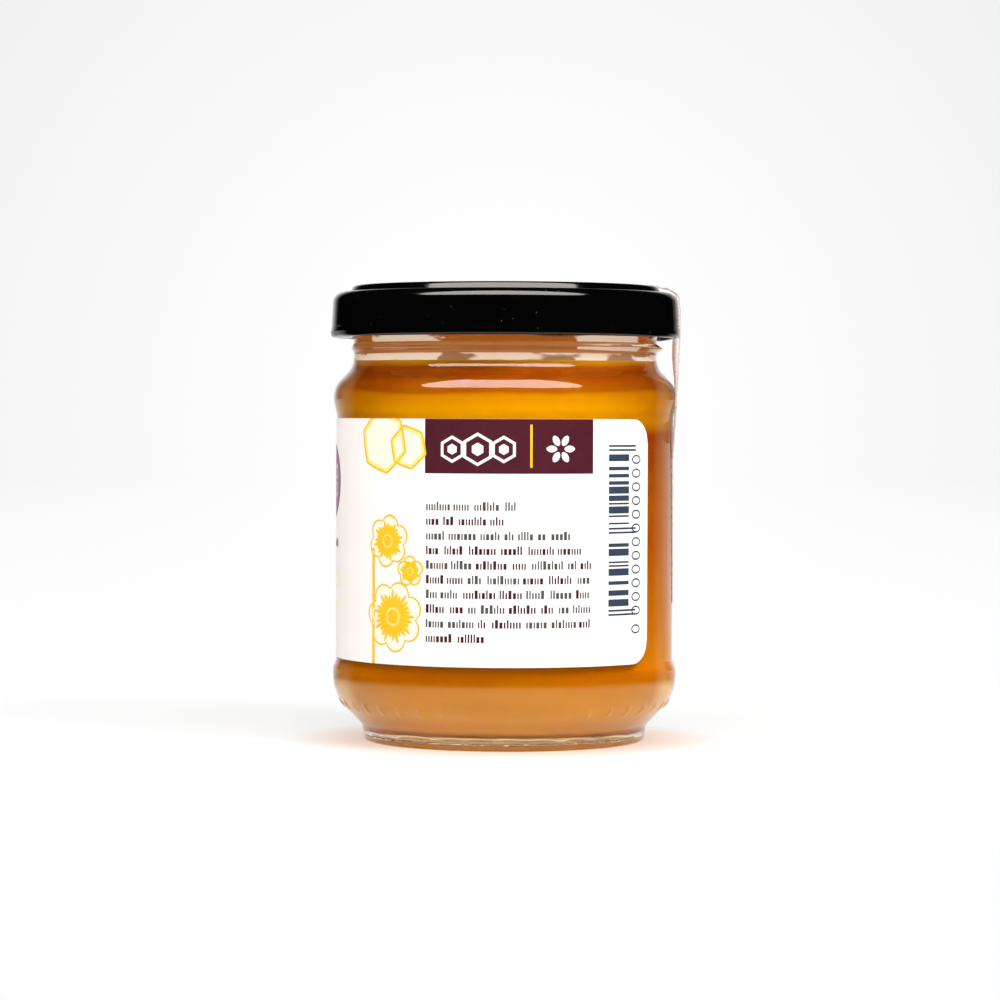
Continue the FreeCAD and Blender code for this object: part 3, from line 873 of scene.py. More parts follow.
@dataclass
class JarGlass:
    """The clear glass jar: body, moulded marks, bead, screw threads and rim."""

    wall: float = 2.45
    push_up_height: float = 1.8
    push_up_radius: float = 21.6
    push_up_edge: float = 1.35
    foot_inner: float = 24.6
    foot_outer: float = 26.6
    foot_side: float = 26.95
    foot_top: float = 2.9
    heel_top: float = 8.7
    neck_radius: float = 28.75
    shoulder_slope: float = 44.0
    shoulder_bend: float = 4.5
    neck_bend: float = 3.4
    neck_corner: float = 70.6
    inner_shoulder_bend: float = 2.4
    heel_bend: float = 8.2
    heel_inner_bend: float = 7.5
    bead_height: float = 74.1
    bead_reach: float = 0.95
    bead_half: float = 0.8
    bead_swell: float = 0.45
    thread_count: int = 4
    lug_angle: float = 17.6
    thread_height: float = 78.9
    thread_tilt: float = 6.1
    thread_half_span: float = 46.0
    thread_reach: float = 2.1
    thread_half_width: float = 1.65
    mark_count: int = 42
    mark_height: float = 7.1
    mark_half_length: float = 1.0
    mark_half_width: float = 0.34
    mark_rise: float = 0.26
    foot_wave: float = 0.03
    columns_per_mark: int = 8

    def __post_init__(self) -> None:
        """Takes the main sizes from the CAD nodes."""
        _, high = node_box("glass_jar")
        self.ridge_radius = float(high[0])
        self.rim_height = float(high[2])
        label_low, label_high = node_box("label")
        self.panel_radius = -float(label_low[0]) - 0.1
        self.panel_bottom = float(label_low[2]) - 0.4
        self.panel_top = float(label_high[2]) + 0.4
        honey_low, honey_high = node_box("honey")
        self.inner_radius = float(honey_high[0])
        self.floor_height = float(honey_low[2])
        self.honey_level = float(honey_high[2])
        self.bore_radius = self.neck_radius - self.wall

    def shoulder_corners(self) -> tuple[float, float]:
        """Heights of the corners where the shoulder's slope meets the ridge and the neck.

        Returns:
            The height at the ridge and the height at the neck.
        """
        run = self.ridge_radius - self.neck_radius
        fall = run / math.tan(math.radians(self.shoulder_slope))
        return self.neck_corner - fall, self.neck_corner

    def outside(self) -> list[Corner]:
        """Corners of the outer line, from the axis under the base to the rim.

        Returns:
            Each corner as (radius, height, bend).
        """
        ridge, panel, neck = self.ridge_radius, self.panel_radius, self.neck_radius
        slope_start, slope_end = self.shoulder_corners()
        bead, half = self.bead_height, self.bead_half
        return [
            (POLE_RADIUS, self.push_up_height, 0.0),
            (self.push_up_radius, self.push_up_edge, 4.0),
            (self.foot_inner, 0.0, 0.9),
            (self.foot_outer, 0.0, 0.6),
            (self.foot_side, self.foot_top, 1.6),
            (ridge, self.heel_top, self.heel_bend),
            (ridge, self.panel_bottom - 1.65, 0.9),
            (panel, self.panel_bottom, 0.9),
            (panel, self.panel_top, 0.9),
            (ridge, self.panel_top + 3.0, 1.5),
            (ridge, slope_start, self.shoulder_bend),
            (neck, slope_end, self.neck_bend),
            (neck, bead - half, 0.25),
            (neck + self.bead_reach, bead, 0.3),
            (neck, bead + half, 0.25),
            (neck, self.rim_height, 1.15),
            (self.bore_radius, self.rim_height, 1.15),
        ]

    def inside(self) -> list[Corner]:
        """Corners of the inner line, from the bore down to the axis on the floor.

        Returns:
            Each corner as (radius, height, bend).
        """
        _, slope_end = self.shoulder_corners()
        half = math.tan(math.radians(self.shoulder_slope / 2))
        outer_bend = self.neck_bend + self.wall
        bore_corner = slope_end - self.wall * half
        fall = (self.inner_radius - self.bore_radius) / math.tan(math.radians(self.shoulder_slope))
        return [
            (self.bore_radius, bore_corner, outer_bend),
            (self.inner_radius, bore_corner - fall, self.inner_shoulder_bend),
            (self.inner_radius, self.floor_height, self.heel_inner_bend),
            (POLE_RADIUS, self.floor_height, 0.0),
        ]

    def angles(self) -> np.ndarray:
        """Columns round the jar, crowded where a moulded mark stands.

        Returns:
            The columns' angles.
        """
        pitch = 2 * math.pi / self.mark_count
        half_width = self.mark_half_width / self.ridge_radius
        inner = np.array([-1.15, -0.55, 0.0, 0.55, 1.15]) * half_width
        edge = 1.15 * half_width
        rest = np.linspace(edge, pitch - edge, self.columns_per_mark - 3)[1:-1]
        one = np.concatenate([inner, rest])
        return (np.arange(self.mark_count)[:, None] * pitch + one[None, :]).reshape(-1)

    def relief(self, angles: np.ndarray, radii: np.ndarray, heights: np.ndarray) -> np.ndarray:
        """How far the outer face stands out from its turned form.

        A thread is a hump whose height is the squared cosine of the distance from its
        path, and the path climbs with the sine of the angle. A mark is a small dome, one
        less the squared distances across and along it. The bead stands out more on one
        side, where a thread runs into it.

        Args:
            angles: Angles round the jar.
            radii: The turned form's radii.
            heights: Its heights, of the same shape.

        Returns:
            The relief in millimetres, of the same shape.
        """
        spread = np.zeros(np.broadcast(angles, heights).shape)
        climb = self.neck_radius * math.tan(math.radians(self.thread_tilt))
        for index in range(self.thread_count):
            middle = math.radians(self.lug_angle + index * 360.0 / self.thread_count)
            along = (angles - middle + math.pi) % (2 * math.pi) - math.pi
            path = self.thread_height + climb * np.sin(along)
            across = np.clip((heights - path) / self.thread_half_width, -1.0, 1.0)
            half = math.radians(self.thread_half_span)
            fade = 1.0 - smooth_step(half - 0.06, half + 0.07, np.abs(along))
            hump = np.cos(across * math.pi / 2) ** 2
            spread = np.maximum(spread, self.thread_reach * hump * fade)
        from_bead = np.abs(heights - self.bead_height) / self.bead_half
        near_bead = np.clip(1.0 - from_bead, 0.0, 1.0)
        spread = spread + near_bead * self.bead_swell * np.cos(angles)
        pitch = 2 * math.pi / self.mark_count
        offset = (angles + pitch / 2) % pitch - pitch / 2
        across = offset * self.ridge_radius / self.mark_half_width
        along = (heights - self.mark_height) / self.mark_half_length
        dome = np.clip(1.0 - across**2 - along**2, 0.0, 1.0) ** 0.5
        on_heel = (radii > self.ridge_radius * 0.8) & (heights < self.panel_bottom)
        waves = wave_noise(19, angles, heights, 14, 34, 0.5)
        near_foot = smooth_step(0.4, 1.2, heights) * (1.0 - smooth_step(4.0, 5.5, heights))
        heel_relief = self.mark_rise * dome + self.foot_wave * waves * near_foot
        return spread + np.where(on_heel, heel_relief, 0.0)

    def build(self) -> None:
        """Makes the glass as one closed body."""
        outer = rounded_outline(self.outside() + [(self.bore_radius, 80.0, 0.0)], 1.2)
        heel = (outer[:, 1] > 0.8) & (outer[:, 1] < 10.0) & (outer[:, 0] > 20)
        outer = densified(outer, heel, 0.35)
        neck = (outer[:, 1] > self.bead_height) & (outer[:, 0] > self.neck_radius - 0.2)
        outer = densified(outer, neck, 0.5)
        inner = rounded_outline([(self.bore_radius, 80.0, 0.0)] + self.inside(), 2.0)
        angles = self.angles()
        line = np.concatenate([outer, inner[1:]])
        radii = np.broadcast_to(line[:, :1], (len(line), len(angles))).copy()
        heights = np.broadcast_to(line[:, 1:], radii.shape)
        count = len(outer)
        radii[:count] += self.relief(angles[None, :], radii[:count], heights[:count])
        surface = Surface.turned(radii, heights, angles)
        surface.piece("jar_glass", "glass_jar", Slot.GLASS, [ClearGlass().material()])


def densified(line: np.ndarray, chosen: np.ndarray, step: float) -> np.ndarray:
    """Divides the stretches of a line between two chosen points into short ones.

    Args:
        line: The points.
        chosen: True for each point of the part to divide.
        step: The longest stretch there.

    Returns:
        The longer line.
    """
    parts = [line[:1]]
    for index in range(1, len(line)):
        start, end = line[index - 1], line[index]
        count = 1
        if chosen[index - 1] and chosen[index]:
            count = max(1, math.ceil(float(np.linalg.norm(end - start)) / step))
        parts.append(start + (end - start) * (np.arange(1, count + 1) / count)[:, None])
    return np.concatenate(parts)


@dataclass
class Honey:
    """The honey, which reaches just into the glass, and the film it left in the neck."""

    glass: JarGlass
    into_wall: float = 0.12
    meniscus: float = 0.12
    columns: int = 240
    film_columns: int = 360
    film_rows: int = 26
    film_top: float = 79.0

    def build(self) -> None:
        """Makes the filling and the film."""
        glass = self.glass
        line = rounded_outline([(glass.bore_radius, 80.0, 0.0)] + glass.inside(), 1.6)
        run = np.gradient(line, axis=0)
        run /= np.linalg.norm(run, axis=1, keepdims=True)
        outward = np.stack([-run[:, 1], run[:, 0]], axis=1)
        grown = line + outward * self.into_wall
        grown = grown[grown[:, 1] < glass.honey_level]
        level = glass.honey_level
        edge = float(grown[0, 0])
        climb = np.linspace(0.0, 1.0, 9)
        top_radii = edge * (1 - 0.16 * climb)
        top_heights = level + self.meniscus * np.exp(-climb * 5.0)
        centre = np.stack([np.linspace(top_radii[-1], 1.5, 10)[1:], np.full(9, level)], axis=1)
        top = np.concatenate([np.stack([top_radii, top_heights], axis=1), centre])
        line = np.concatenate([grown[::-1], top])
        angles = even_angles(self.columns)
        radii = np.broadcast_to(line[:, :1], (len(line), len(angles)))
        heights = np.broadcast_to(line[:, 1:], radii.shape)
        slots = np.where(np.arange(len(line) - 1) >= len(grown), 1, 0)
        surface = Surface.turned(radii, heights, angles, slots)
        body = HoneyFill().material()
        free = HoneyFill(name="honey_free_surface", glossy=True).material()
        surface.piece("honey_filling", "honey", Slot.HONEY, [body, free])
        self.build_film()

    def build_film(self) -> None:
        """Makes the film: a thin ring inside the neck, whose depth is a sum of waves."""
        glass = self.glass
        angles = even_angles(self.film_columns)[None, :]
        shares = np.linspace(0.0, 1.0, self.film_rows)[:, None]
        low = glass.honey_level - 0.2
        levels = low + (self.film_top - low) * shares
        heights = np.broadcast_to(levels, (self.film_rows, self.film_columns))
        depth = 0.06 + 0.05 * (1.0 + wave_noise(11, angles, heights, 16, 26, 0.16).clip(-1.0, 1.0))
        outer = np.full(heights.shape, glass.bore_radius + 0.05)
        inner = glass.bore_radius - depth * np.sin(math.pi * np.clip(shares, 0.02, 0.98)) ** 0.3
        radii = np.concatenate([outer, inner[::-1]])
        heights = np.concatenate([heights, heights[::-1]])
        grid = np.stack([radii * np.cos(angles), radii * np.sin(angles), heights], axis=-1)
        surface = Surface.grid(grid, closed_across=True, closed_along=True)
        surface.piece("honey_film", None, Slot.HONEY, [HoneySmear().material()])


@dataclass
class TwistLid:
    """The pressed steel lid with its raised ring, rolled edge and lugs."""

    steel: float = 0.3
    panel_radius: float = 24.3
    panel_drop: float = 1.1
    ring_inner: float = 25.9
    ring_outer: float = 28.85
    groove_radius: float = 29.45
    groove_drop: float = 1.4
    shoulder_drop: float = 1.2
    lug_angle: float = 17.6
    lug_count: int = 4
    columns: int = 288
    lug_drop: float = 0.35
    lug_reach: float = 1.15
    dent_half_span: float = 0.21
    dent_depth: float = 0.38

    def __post_init__(self) -> None:
        """Takes the lid's reach and heights from its CAD node."""
        low, high = node_box("lid")
        self.reach = float(high[0])
        self.bottom = float(low[2]) + self.lug_drop
        self.top = float(high[2])

    def outside(self) -> list[Corner]:
        """Corners of the outer line, from the middle of the panel to the rolled edge.

        Returns:
            Each corner as (radius, height, bend).
        """
        reach, top, bottom = self.reach, self.top, self.bottom
        return [
            (1.5, top - self.panel_drop, 0.0),
            (self.panel_radius, top - self.panel_drop, 1.2),
            (self.ring_inner, top, 1.0),
            (self.ring_outer, top, 0.75),
            (self.groove_radius, top - self.groove_drop, 0.15),
            (self.groove_radius + 0.65, top - self.shoulder_drop, 0.3),
            (reach - 0.55, top - self.shoulder_drop, 2.05),
            (reach - 0.2, bottom + 1.9, 1.5),
            (reach, bottom + 1.1, 0.5),
            (reach, bottom, 0.72),
            (reach - 1.45, bottom, 0.7),
            (reach - 1.45, bottom + 1.4, 0.6),
            (reach - 0.75, bottom + 1.5, 0.0),
        ]

    def inside(self) -> list[Corner]:
        """Corners of the inner line, back up the skirt to the middle of the panel.

        Returns:
            Each corner as (radius, height, bend).
        """
        reach, under = self.reach, self.top - self.steel
        return [
            (reach - 0.6 - self.steel, under - self.shoulder_drop, 1.75),
            (self.groove_radius + 0.15, under - self.shoulder_drop, 0.2),
            (self.groove_radius - 0.35, under - self.groove_drop, 0.2),
            (self.ring_outer - 0.45, under, 0.5),
            (self.ring_inner + 0.1, under, 0.8),
            (self.panel_radius + 0.1, under - self.panel_drop, 1.0),
            (1.5, under - self.panel_drop, 0.0),
        ]

    def build(self) -> None:
        """Makes the lid with a pressed dent over each lug, and the lugs inside."""
        outer = rounded_outline(self.outside(), 0.8, 9)
        inner = rounded_outline([self.outside()[-1]] + self.inside(), 0.8, 9)
        line = np.concatenate([outer, inner[1:]])
        slots = (np.arange(len(line) - 1) >= len(outer) - 1).astype(int)
        angles = even_angles(self.columns)[None, :]
        radii = np.broadcast_to(line[:, :1], (len(line), self.columns)).copy()
        heights = np.broadcast_to(line[:, 1:], radii.shape).copy()
        pitch = 2 * math.pi / self.lug_count
        offset = (angles - math.radians(self.lug_angle) + pitch / 2) % pitch - pitch / 2
        hump = np.exp(-((offset / self.dent_half_span) ** 2) * 1.4)
        low_down = 1.0 - smooth_step(self.bottom + 0.4, self.bottom + 2.6, heights)
        skirt = (radii > self.reach - 2.0).astype(float)
        radii -= self.dent_depth * hump * low_down * skirt
        tuck = np.exp(-((offset / (self.dent_half_span * 0.75)) ** 4))
        inward = np.clip((self.reach - 0.5 - radii) / 0.9, 0.0, 1.0)
        on_lug = tuck * inward * (heights < self.bottom + 1.9) * skirt
        radii -= self.lug_reach * on_lug
        heights -= self.lug_drop * on_lug
        surface = Surface.turned(radii, heights, angles[0], slots)
        finishes = [GlossEnamel().material(), LidLining().material()]
        surface.piece("twist_lid", "lid", Slot.LID, finishes)


class Ink(Enum):
    """The label's inks."""

    PLUM = "print_plum"
    GREY = "print_grey"
    YELLOW = "print_yellow"
    GLOW = "print_glow"
    CREAM = "print_cream"
    WHITE = "print_white"
    SLATE = "print_slate"
    LILAC = "print_lilac"


INK_TONES = {
    Ink.PLUM: (linear(68, 16, 29), linear(87, 31, 46)),
    Ink.GREY: (linear(72, 67, 67), linear(95, 89, 89)),
    Ink.YELLOW: (linear(232, 184, 10), linear(242, 200, 54)),
    Ink.GLOW: (linear(246, 220, 118), linear(246, 226, 158)),
    Ink.CREAM: (linear(244, 237, 219), linear(244, 233, 203)),
    Ink.WHITE: (linear(250, 244, 240), linear(236, 226, 222)),
    Ink.SLATE: (linear(43, 56, 73), linear(65, 74, 91)),
    Ink.LILAC: (linear(158, 98, 132), linear(180, 132, 160)),
}


@dataclass
class WrapLabel:
    """The wrap label: paper with rounded corners, and its print as fields of ink above it.

    Flat coordinates are millimetres along the label from its middle, growing with the
    angle round the jar, and heights.
    """

    corner_bend: float = 4.5
    half_span: float = 145.5
    front: float = 180.0
    paper: float = 0.1
    ink_rise: float = 0.02
    longest_stretch: float = 1.2
    band_bottom: float = 50.9
    text_top: float = 44.8
    row_pitch: float = 2.66
    paper_columns: int = 260
    paper_rows: int = 12

    def __post_init__(self) -> None:
        """Takes the paper's radius and heights from its CAD node."""
        low, high = node_box("label")
        self.radius = -float(low[0])
        self.bottom = float(low[2])
        self.top = float(high[2])
        self.half_length = math.radians(self.half_span) * self.radius
        self.fields: dict[Ink, list[Surface]] = {ink: [] for ink in Ink}

    def on_jar(self, flat: np.ndarray, rise: float) -> np.ndarray:
        """Wraps flat places round the jar: the angle is the length over the radius.

        Args:
            flat: Flat places.
            rise: How far they lie outside the paper's face.

        Returns:
            The places round the jar, in millimetres.
        """
        angle = math.radians(self.front) + flat[..., 0] / self.radius
        reach = self.radius + rise
        return np.stack([reach * np.cos(angle), reach * np.sin(angle), flat[..., 1]], axis=-1)

    def build_paper(self) -> None:
        """Makes the paper: each column's ends follow the rounded corners' quarter circles."""
        share = np.linspace(-1.0, 1.0, self.paper_columns)
        along = self.half_length * (0.6 * share + 0.4 * np.sin(share * math.pi / 2))
        past = np.clip(np.abs(along) - (self.half_length - self.corner_bend), 0.0, self.corner_bend)
        cut = self.corner_bend - np.sqrt(np.maximum(self.corner_bend**2 - past**2, 0.0))
        rows = np.linspace(0.0, 1.0, self.paper_rows)[:, None]
        low, high = self.bottom + cut, self.top - cut
        lengths = np.broadcast_to(along, (self.paper_rows, self.paper_columns))
        flat = np.stack([lengths, low + (high - low) * rows], axis=-1)
        face = self.on_jar(flat, 0.0)
        back = self.on_jar(flat, -self.paper)
        ring = np.concatenate([face, back[::-1]])
        flats = np.concatenate([flat, flat[::-1]])
        sleeve = Surface.grid(ring, closed_along=True, flat=flats)
        rows_count, columns = ring.shape[:2]
        numbers = np.arange(rows_count * columns).reshape(rows_count, columns)
        half = rows_count // 2
        for column, turned in ((0, False), (columns - 1, True)):
            front = numbers[:half, column]
            rear = numbers[half:, column][::-1]
            end = np.stack([front[:-1], front[1:], rear[1:], rear[:-1]], axis=1)
            sleeve.faces.append(end[:, ::-1] if turned else end)
            sleeve.slots.append(np.zeros(len(end), int))
        sleeve.piece("label_paper", "label", Slot.LABEL, [CoatedPaper().material()])

    def add_field(self, ink: Ink, flat: np.ndarray, layer: int, closed: bool = False) -> None:
        """Prints a grid of flat places as a field that many ink layers above the paper."""
        placed = self.on_jar(flat, self.ink_rise * layer)
        self.fields[ink].append(Surface.grid(placed, closed_across=closed, flat=flat))

    def within(self, flat: np.ndarray) -> np.ndarray:
        """Keeps flat places inside the paper's upper and lower edges."""
        flat[..., 1] = np.clip(flat[..., 1], self.bottom + 0.02, self.top - 0.02)
        return flat

    def add_bar(self, ink: Ink, left: float, right: float, low: float, high: float,
                layer: int = 1) -> None:
        """Prints an upright rectangle between two lengths and two heights.

        Args:
            ink: The ink.
            left: The length at which it starts.
            right: The length at which it ends.
            low: Its lower height.
            high: Its upper height.
            layer: How many ink layers it stands above the paper.
        """
        count = max(1, math.ceil((right - left) / self.longest_stretch))
        along = np.linspace(left, right, count + 1)
        self.add_field(ink, np.stack(np.meshgrid(along, [low, high]), axis=-1), layer)

    def add_ring(self, ink: Ink, centre: tuple[float, float], inner: np.ndarray, outer: np.ndarray,
                 layer: int = 1) -> None:
        """Prints the field between two closed lines round a centre.

        Args:
            ink: The ink.
            centre: The flat centre.
            inner: The inner line's reach at evenly spaced angles.
            outer: The outer line's reach at the same angles.
            layer: How many ink layers it stands above the paper.
        """
        turn = even_angles(len(outer))
        count = max(1, math.ceil(float((outer - inner).max()) / self.longest_stretch))
        shares = np.linspace(0.0, 1.0, count + 1)[:, None]
        reach = inner + (outer - inner) * shares
        flat = np.stack(
            [centre[0] + reach * np.cos(turn), centre[1] + reach * np.sin(turn)], axis=-1
        )
        self.add_field(ink, self.within(flat), layer, closed=True)

    def add_cell(self, centre: tuple[float, float], reach: float, turn: float) -> None:
        """Prints a honeycomb cell: a six-sided outline over a pale field.

        The outline is a hexagon, softened towards a circle at its corners.

        Args:
            centre: The flat centre.
            reach: About how far its corners reach.
            turn: The angle of the middle of one side.
        """
        line = reach * (0.82 * six_sided(turn) + 0.16)
        self.add_ring(Ink.CREAM, centre, line * 0.001, line - 0.9, 1)
        self.add_ring(Ink.GLOW, centre, line - 0.95, line - 0.3, 2)
        self.add_ring(Ink.YELLOW, centre, line - 0.38, line, 3)

    def add_blossom(self, centre: tuple[float, float], reach: float, petals: int,
                    turn: float) -> None:
        """Prints a blossom: a petal outline over a pale field, rays and a round middle.

        The outline's reach is the largest reach times a share that swells and narrows
        with the cosine of the petal count times the angle.

        Args:
            centre: The flat centre.
            reach: The reach of a petal's tip.
            petals: How many petals it has.
            turn: The angle of one petal's tip.
        """
        angles = even_angles(120)
        line = reach * (0.78 + 0.22 * np.abs(np.cos(petals * (angles - turn) / 2)) ** 0.7)
        self.add_ring(Ink.CREAM, centre, line * 0.001, line - 0.3, 1)
        self.add_ring(Ink.YELLOW, centre, line - 0.36, line, 2)
        self.add_ring(Ink.GLOW, centre, line * 0.001, line * 0.62, 2)
        ring = np.full(48, reach * 0.2)
        self.add_ring(Ink.YELLOW, centre, ring * 0.01, ring, 3)
        for index in range(petals * 4):
            angle = turn + (index + 0.5) * 2 * math.pi / (petals * 4)
            end = reach * (0.6 + 0.08 * (index % 3))
            self.add_stroke(Ink.YELLOW, centre, angle, reach * 0.24, end, 0.34)

    def add_stroke(self, ink: Ink, centre: tuple[float, float], angle: float, start: float,
                   end: float, width: float, layer: int = 3) -> None:
        """Prints a spindle-shaped stroke that points away from a centre.

        Args:
            ink: The ink.
            centre: The flat centre.
            angle: The angle in which it points.
            start: Its start's distance from the centre.
            end: Its end's distance from the centre.
            width: Half its width in the middle.
            layer: How many ink layers it stands above the paper.
        """
        along = np.linspace(0.0, 1.0, 7)
        half = width * np.sqrt(np.sin(math.pi * np.clip(along, 0.02, 0.98)))
        reach = start + (end - start) * along
        direction = np.array([math.cos(angle), math.sin(angle)])
        across = np.array([-direction[1], direction[0]])
        middle = np.array(centre) + reach[:, None] * direction
        flat = np.stack([middle - half[:, None] * across, middle + half[:, None] * across])
        self.add_field(ink, self.within(flat), layer)

    def at(self, degrees_right: float) -> float:
        """The flat length at an angle to the right of the -Y side."""
        return math.radians(90.0 + degrees_right) * self.radius

    def print_text_block(self) -> None:
        """Prints ten rows of ticks: the upper four in one ink each, the others in both."""
        draw = np.random.default_rng(23)
        left, right = self.at(-26.5), self.at(29.6)
        pair = (Ink.GREY, Ink.PLUM)
        for row in range(10):
            share = {0: 0.54, 1: 0.48, 2: 0.86, 3: 0.94, 9: 0.4}.get(row, 1.0)
            inks = (pair[row % 2], pair[(row + 1) % 2]) if row > 3 else (pair[row % 2],)
            middle = self.text_top - self.row_pitch * row
            self.print_row(draw, inks, left, left + (right - left) * share, middle, (1.6, 6.0))

    def print_row(self, draw: np.random.Generator, inks: tuple[Ink, ...], left: float,
                  right: float, middle: float, lengths: tuple[float, float]) -> None:
        """Prints a row of stretches of ticks.

        Args:
            draw: The source of the seeded lengths.
            inks: The inks that the stretches take in turn, two stretches each.
            left: The row's start.
            right: The row's end.
            middle: The row's height.
            lengths: The shortest and the longest stretch.
        """
        place, stretch = left, 0
        while place < right - 1.0:
            length = min(float(draw.uniform(*lengths)), right - place)
            ink = inks[(stretch // 2) % len(inks)]
            self.add_ticks(draw, ink, place, place + length, middle)
            place += length + float(draw.uniform(0.55, 0.9))
            stretch += 1

    def add_ticks(self, draw: np.random.Generator, ink: Ink, left: float, right: float,
                  middle: float) -> None:
        """Prints one stretch of a row as small upright ticks of uneven height.

        Args:
            draw: The source of the seeded widths and heights.
            ink: The ink.
            left: The length at which the stretch starts.
            right: The length at which it ends.
            middle: The height of the row's middle.
        """
        place = left
        while place < right - 0.3:
            width = float(draw.choice([0.26, 0.3, 0.55]))
            tall = float(draw.choice([1.1, 1.1, 1.1, 1.55]))
            self.add_bar(ink, place, min(place + width, right), middle - 0.6, middle - 0.6 + tall)
            place += width + 0.25

    def print_code(self) -> None:
        """Prints a generic stack of bars with guard bars, and marks beside it."""
        draw = np.random.default_rng(7)
        left, right, guard = self.at(36.4), self.at(45.4), self.at(48.8)
        for start in (24.9, 39.9, 55.0):
            for offset in (0.0, 0.75):
                self.add_bar(Ink.SLATE, left, guard, start + offset, start + offset + 0.36)
        for low, high in ((26.6, 39.2), (41.6, 54.4)):
            place = low
            while place < high - 0.4:
                thick = float(draw.choice([0.33, 0.33, 0.66, 1.0, 1.3]))
                self.add_bar(Ink.SLATE, left, right, place, min(place + thick, high))
                place += thick + float(draw.choice([0.33, 0.33, 0.66, 1.0]))
        for index in range(13):
            middle = 22.3 + index * 2.52 + (0.9 if index > 0 else 0.0)
            turn = even_angles(24)
            oval = 1.25 / np.sqrt(np.cos(turn) ** 2 + (1.45 * np.sin(turn)) ** 2)
            self.add_ring(Ink.SLATE, (self.at(49.0), middle), oval - 0.3, oval)

    def print_band(self) -> None:
        """Prints the plum band with pale generic shapes and a yellow rule."""
        left, right = self.at(-27.0), self.at(30.1)
        self.add_bar(Ink.PLUM, left, right, self.band_bottom, self.top - 0.02)
        self.add_bar(Ink.YELLOW, self.at(8.2), self.at(9.0), 52.0, 59.8, 2)
        cell = six_sided(0.0)
        for index, (reach, hollow) in enumerate(((2.5, 0.76), (3.05, 0.8), (2.5, 0.76))):
            centre = (self.at(-17.4) + 4.75 * index, 55.3)
            self.add_ring(Ink.WHITE, centre, cell * reach * hollow, cell * reach, 2)
            self.add_ring(Ink.WHITE, centre, cell * 0.01, cell * reach * 0.4, 2)
        centre = (self.at(18.4), 55.4)
        for angle in even_angles(6):
            self.add_stroke(Ink.WHITE, centre, angle, 0.7, 2.7, 0.62, 6)

    def print_front(self) -> None:
        """Prints the front: a lilac medallion with seven cells, and a row and bars below."""
        centre = (2.0, 49.1)
        outer = np.full(96, 6.8)
        self.add_ring(Ink.PLUM, centre, outer * 0.94, outer)
        self.add_ring(Ink.LILAC, centre, outer * 0.02, outer * 0.94)
        cell = 1.6 * six_sided(0.0)
        spots = [centre]
        for angle in even_angles(6) + math.pi / 6:
            spots.append((centre[0] + 3.3 * math.cos(angle), centre[1] + 3.3 * math.sin(angle)))
        for spot in spots:
            self.add_ring(Ink.WHITE, spot, cell * 0.72, cell, 2)
        draw = np.random.default_rng(5)
        self.add_ticks(draw, Ink.LILAC, centre[0] - 5.0, centre[0] + 5.0, 37.3)
        self.add_bar(Ink.CREAM, centre[0] - 6.5, centre[0] + 6.5, 29.4, 32.4)
        self.add_bar(Ink.CREAM, centre[0] - 7.5, centre[0] + 7.5, 25.2, 26.0)

    def print_motifs(self) -> None:
        """Prints the cells and blossoms on both sides of the front."""
        cells = ((-44.5, 56.6, 6.2), (-33.6, 55.6, 4.3))
        blossoms = ((-42.0, 38.4, 4.9, 6), (-39.6, 24.6, 6.6, 7), (-32.6, 33.0, 2.9, 5))
        for side in (1.0, -1.0):
            for degrees, height, reach in cells:
                self.add_cell((side * self.at(degrees), height), reach, 0.2)
            for degrees, height, reach, petals in blossoms:
                self.add_blossom((side * self.at(degrees), height), reach, petals, 0.35)
            left, right = sorted((side * self.at(-49.5), side * self.at(-48.1)))
            self.add_bar(Ink.YELLOW, left, right, self.bottom + 0.02, 37.0)

    def print_back_text(self) -> None:
        """Prints a plain plum band and nine rows of ticks away from the text block."""
        left, right = -self.at(30.1), -self.at(-27.0)
        self.add_bar(Ink.PLUM, left, right, self.band_bottom, self.top - 0.02)
        draw = np.random.default_rng(41)
        for row in range(9):
            inks = (Ink.GREY if row % 3 else Ink.PLUM,)
            end = right - (6.0 if row % 4 == 3 else 0.5)
            middle = self.text_top - self.row_pitch * row
            self.print_row(draw, inks, left + 0.4, end, middle, (1.8, 6.4))

    def build(self) -> None:
        """Makes the paper and one piece for each ink."""
        self.build_paper()
        self.print_band()
        self.print_text_block()
        self.print_code()
        self.print_front()
        self.print_motifs()
        self.print_back_text()
        for ink, surfaces in self.fields.items():
            base, mottle = INK_TONES[ink]
            finish = PrintInk(ink.value, base, mottle).material()
            Surface.joined(surfaces).piece(ink.value, None, Slot.LABEL, [finish])


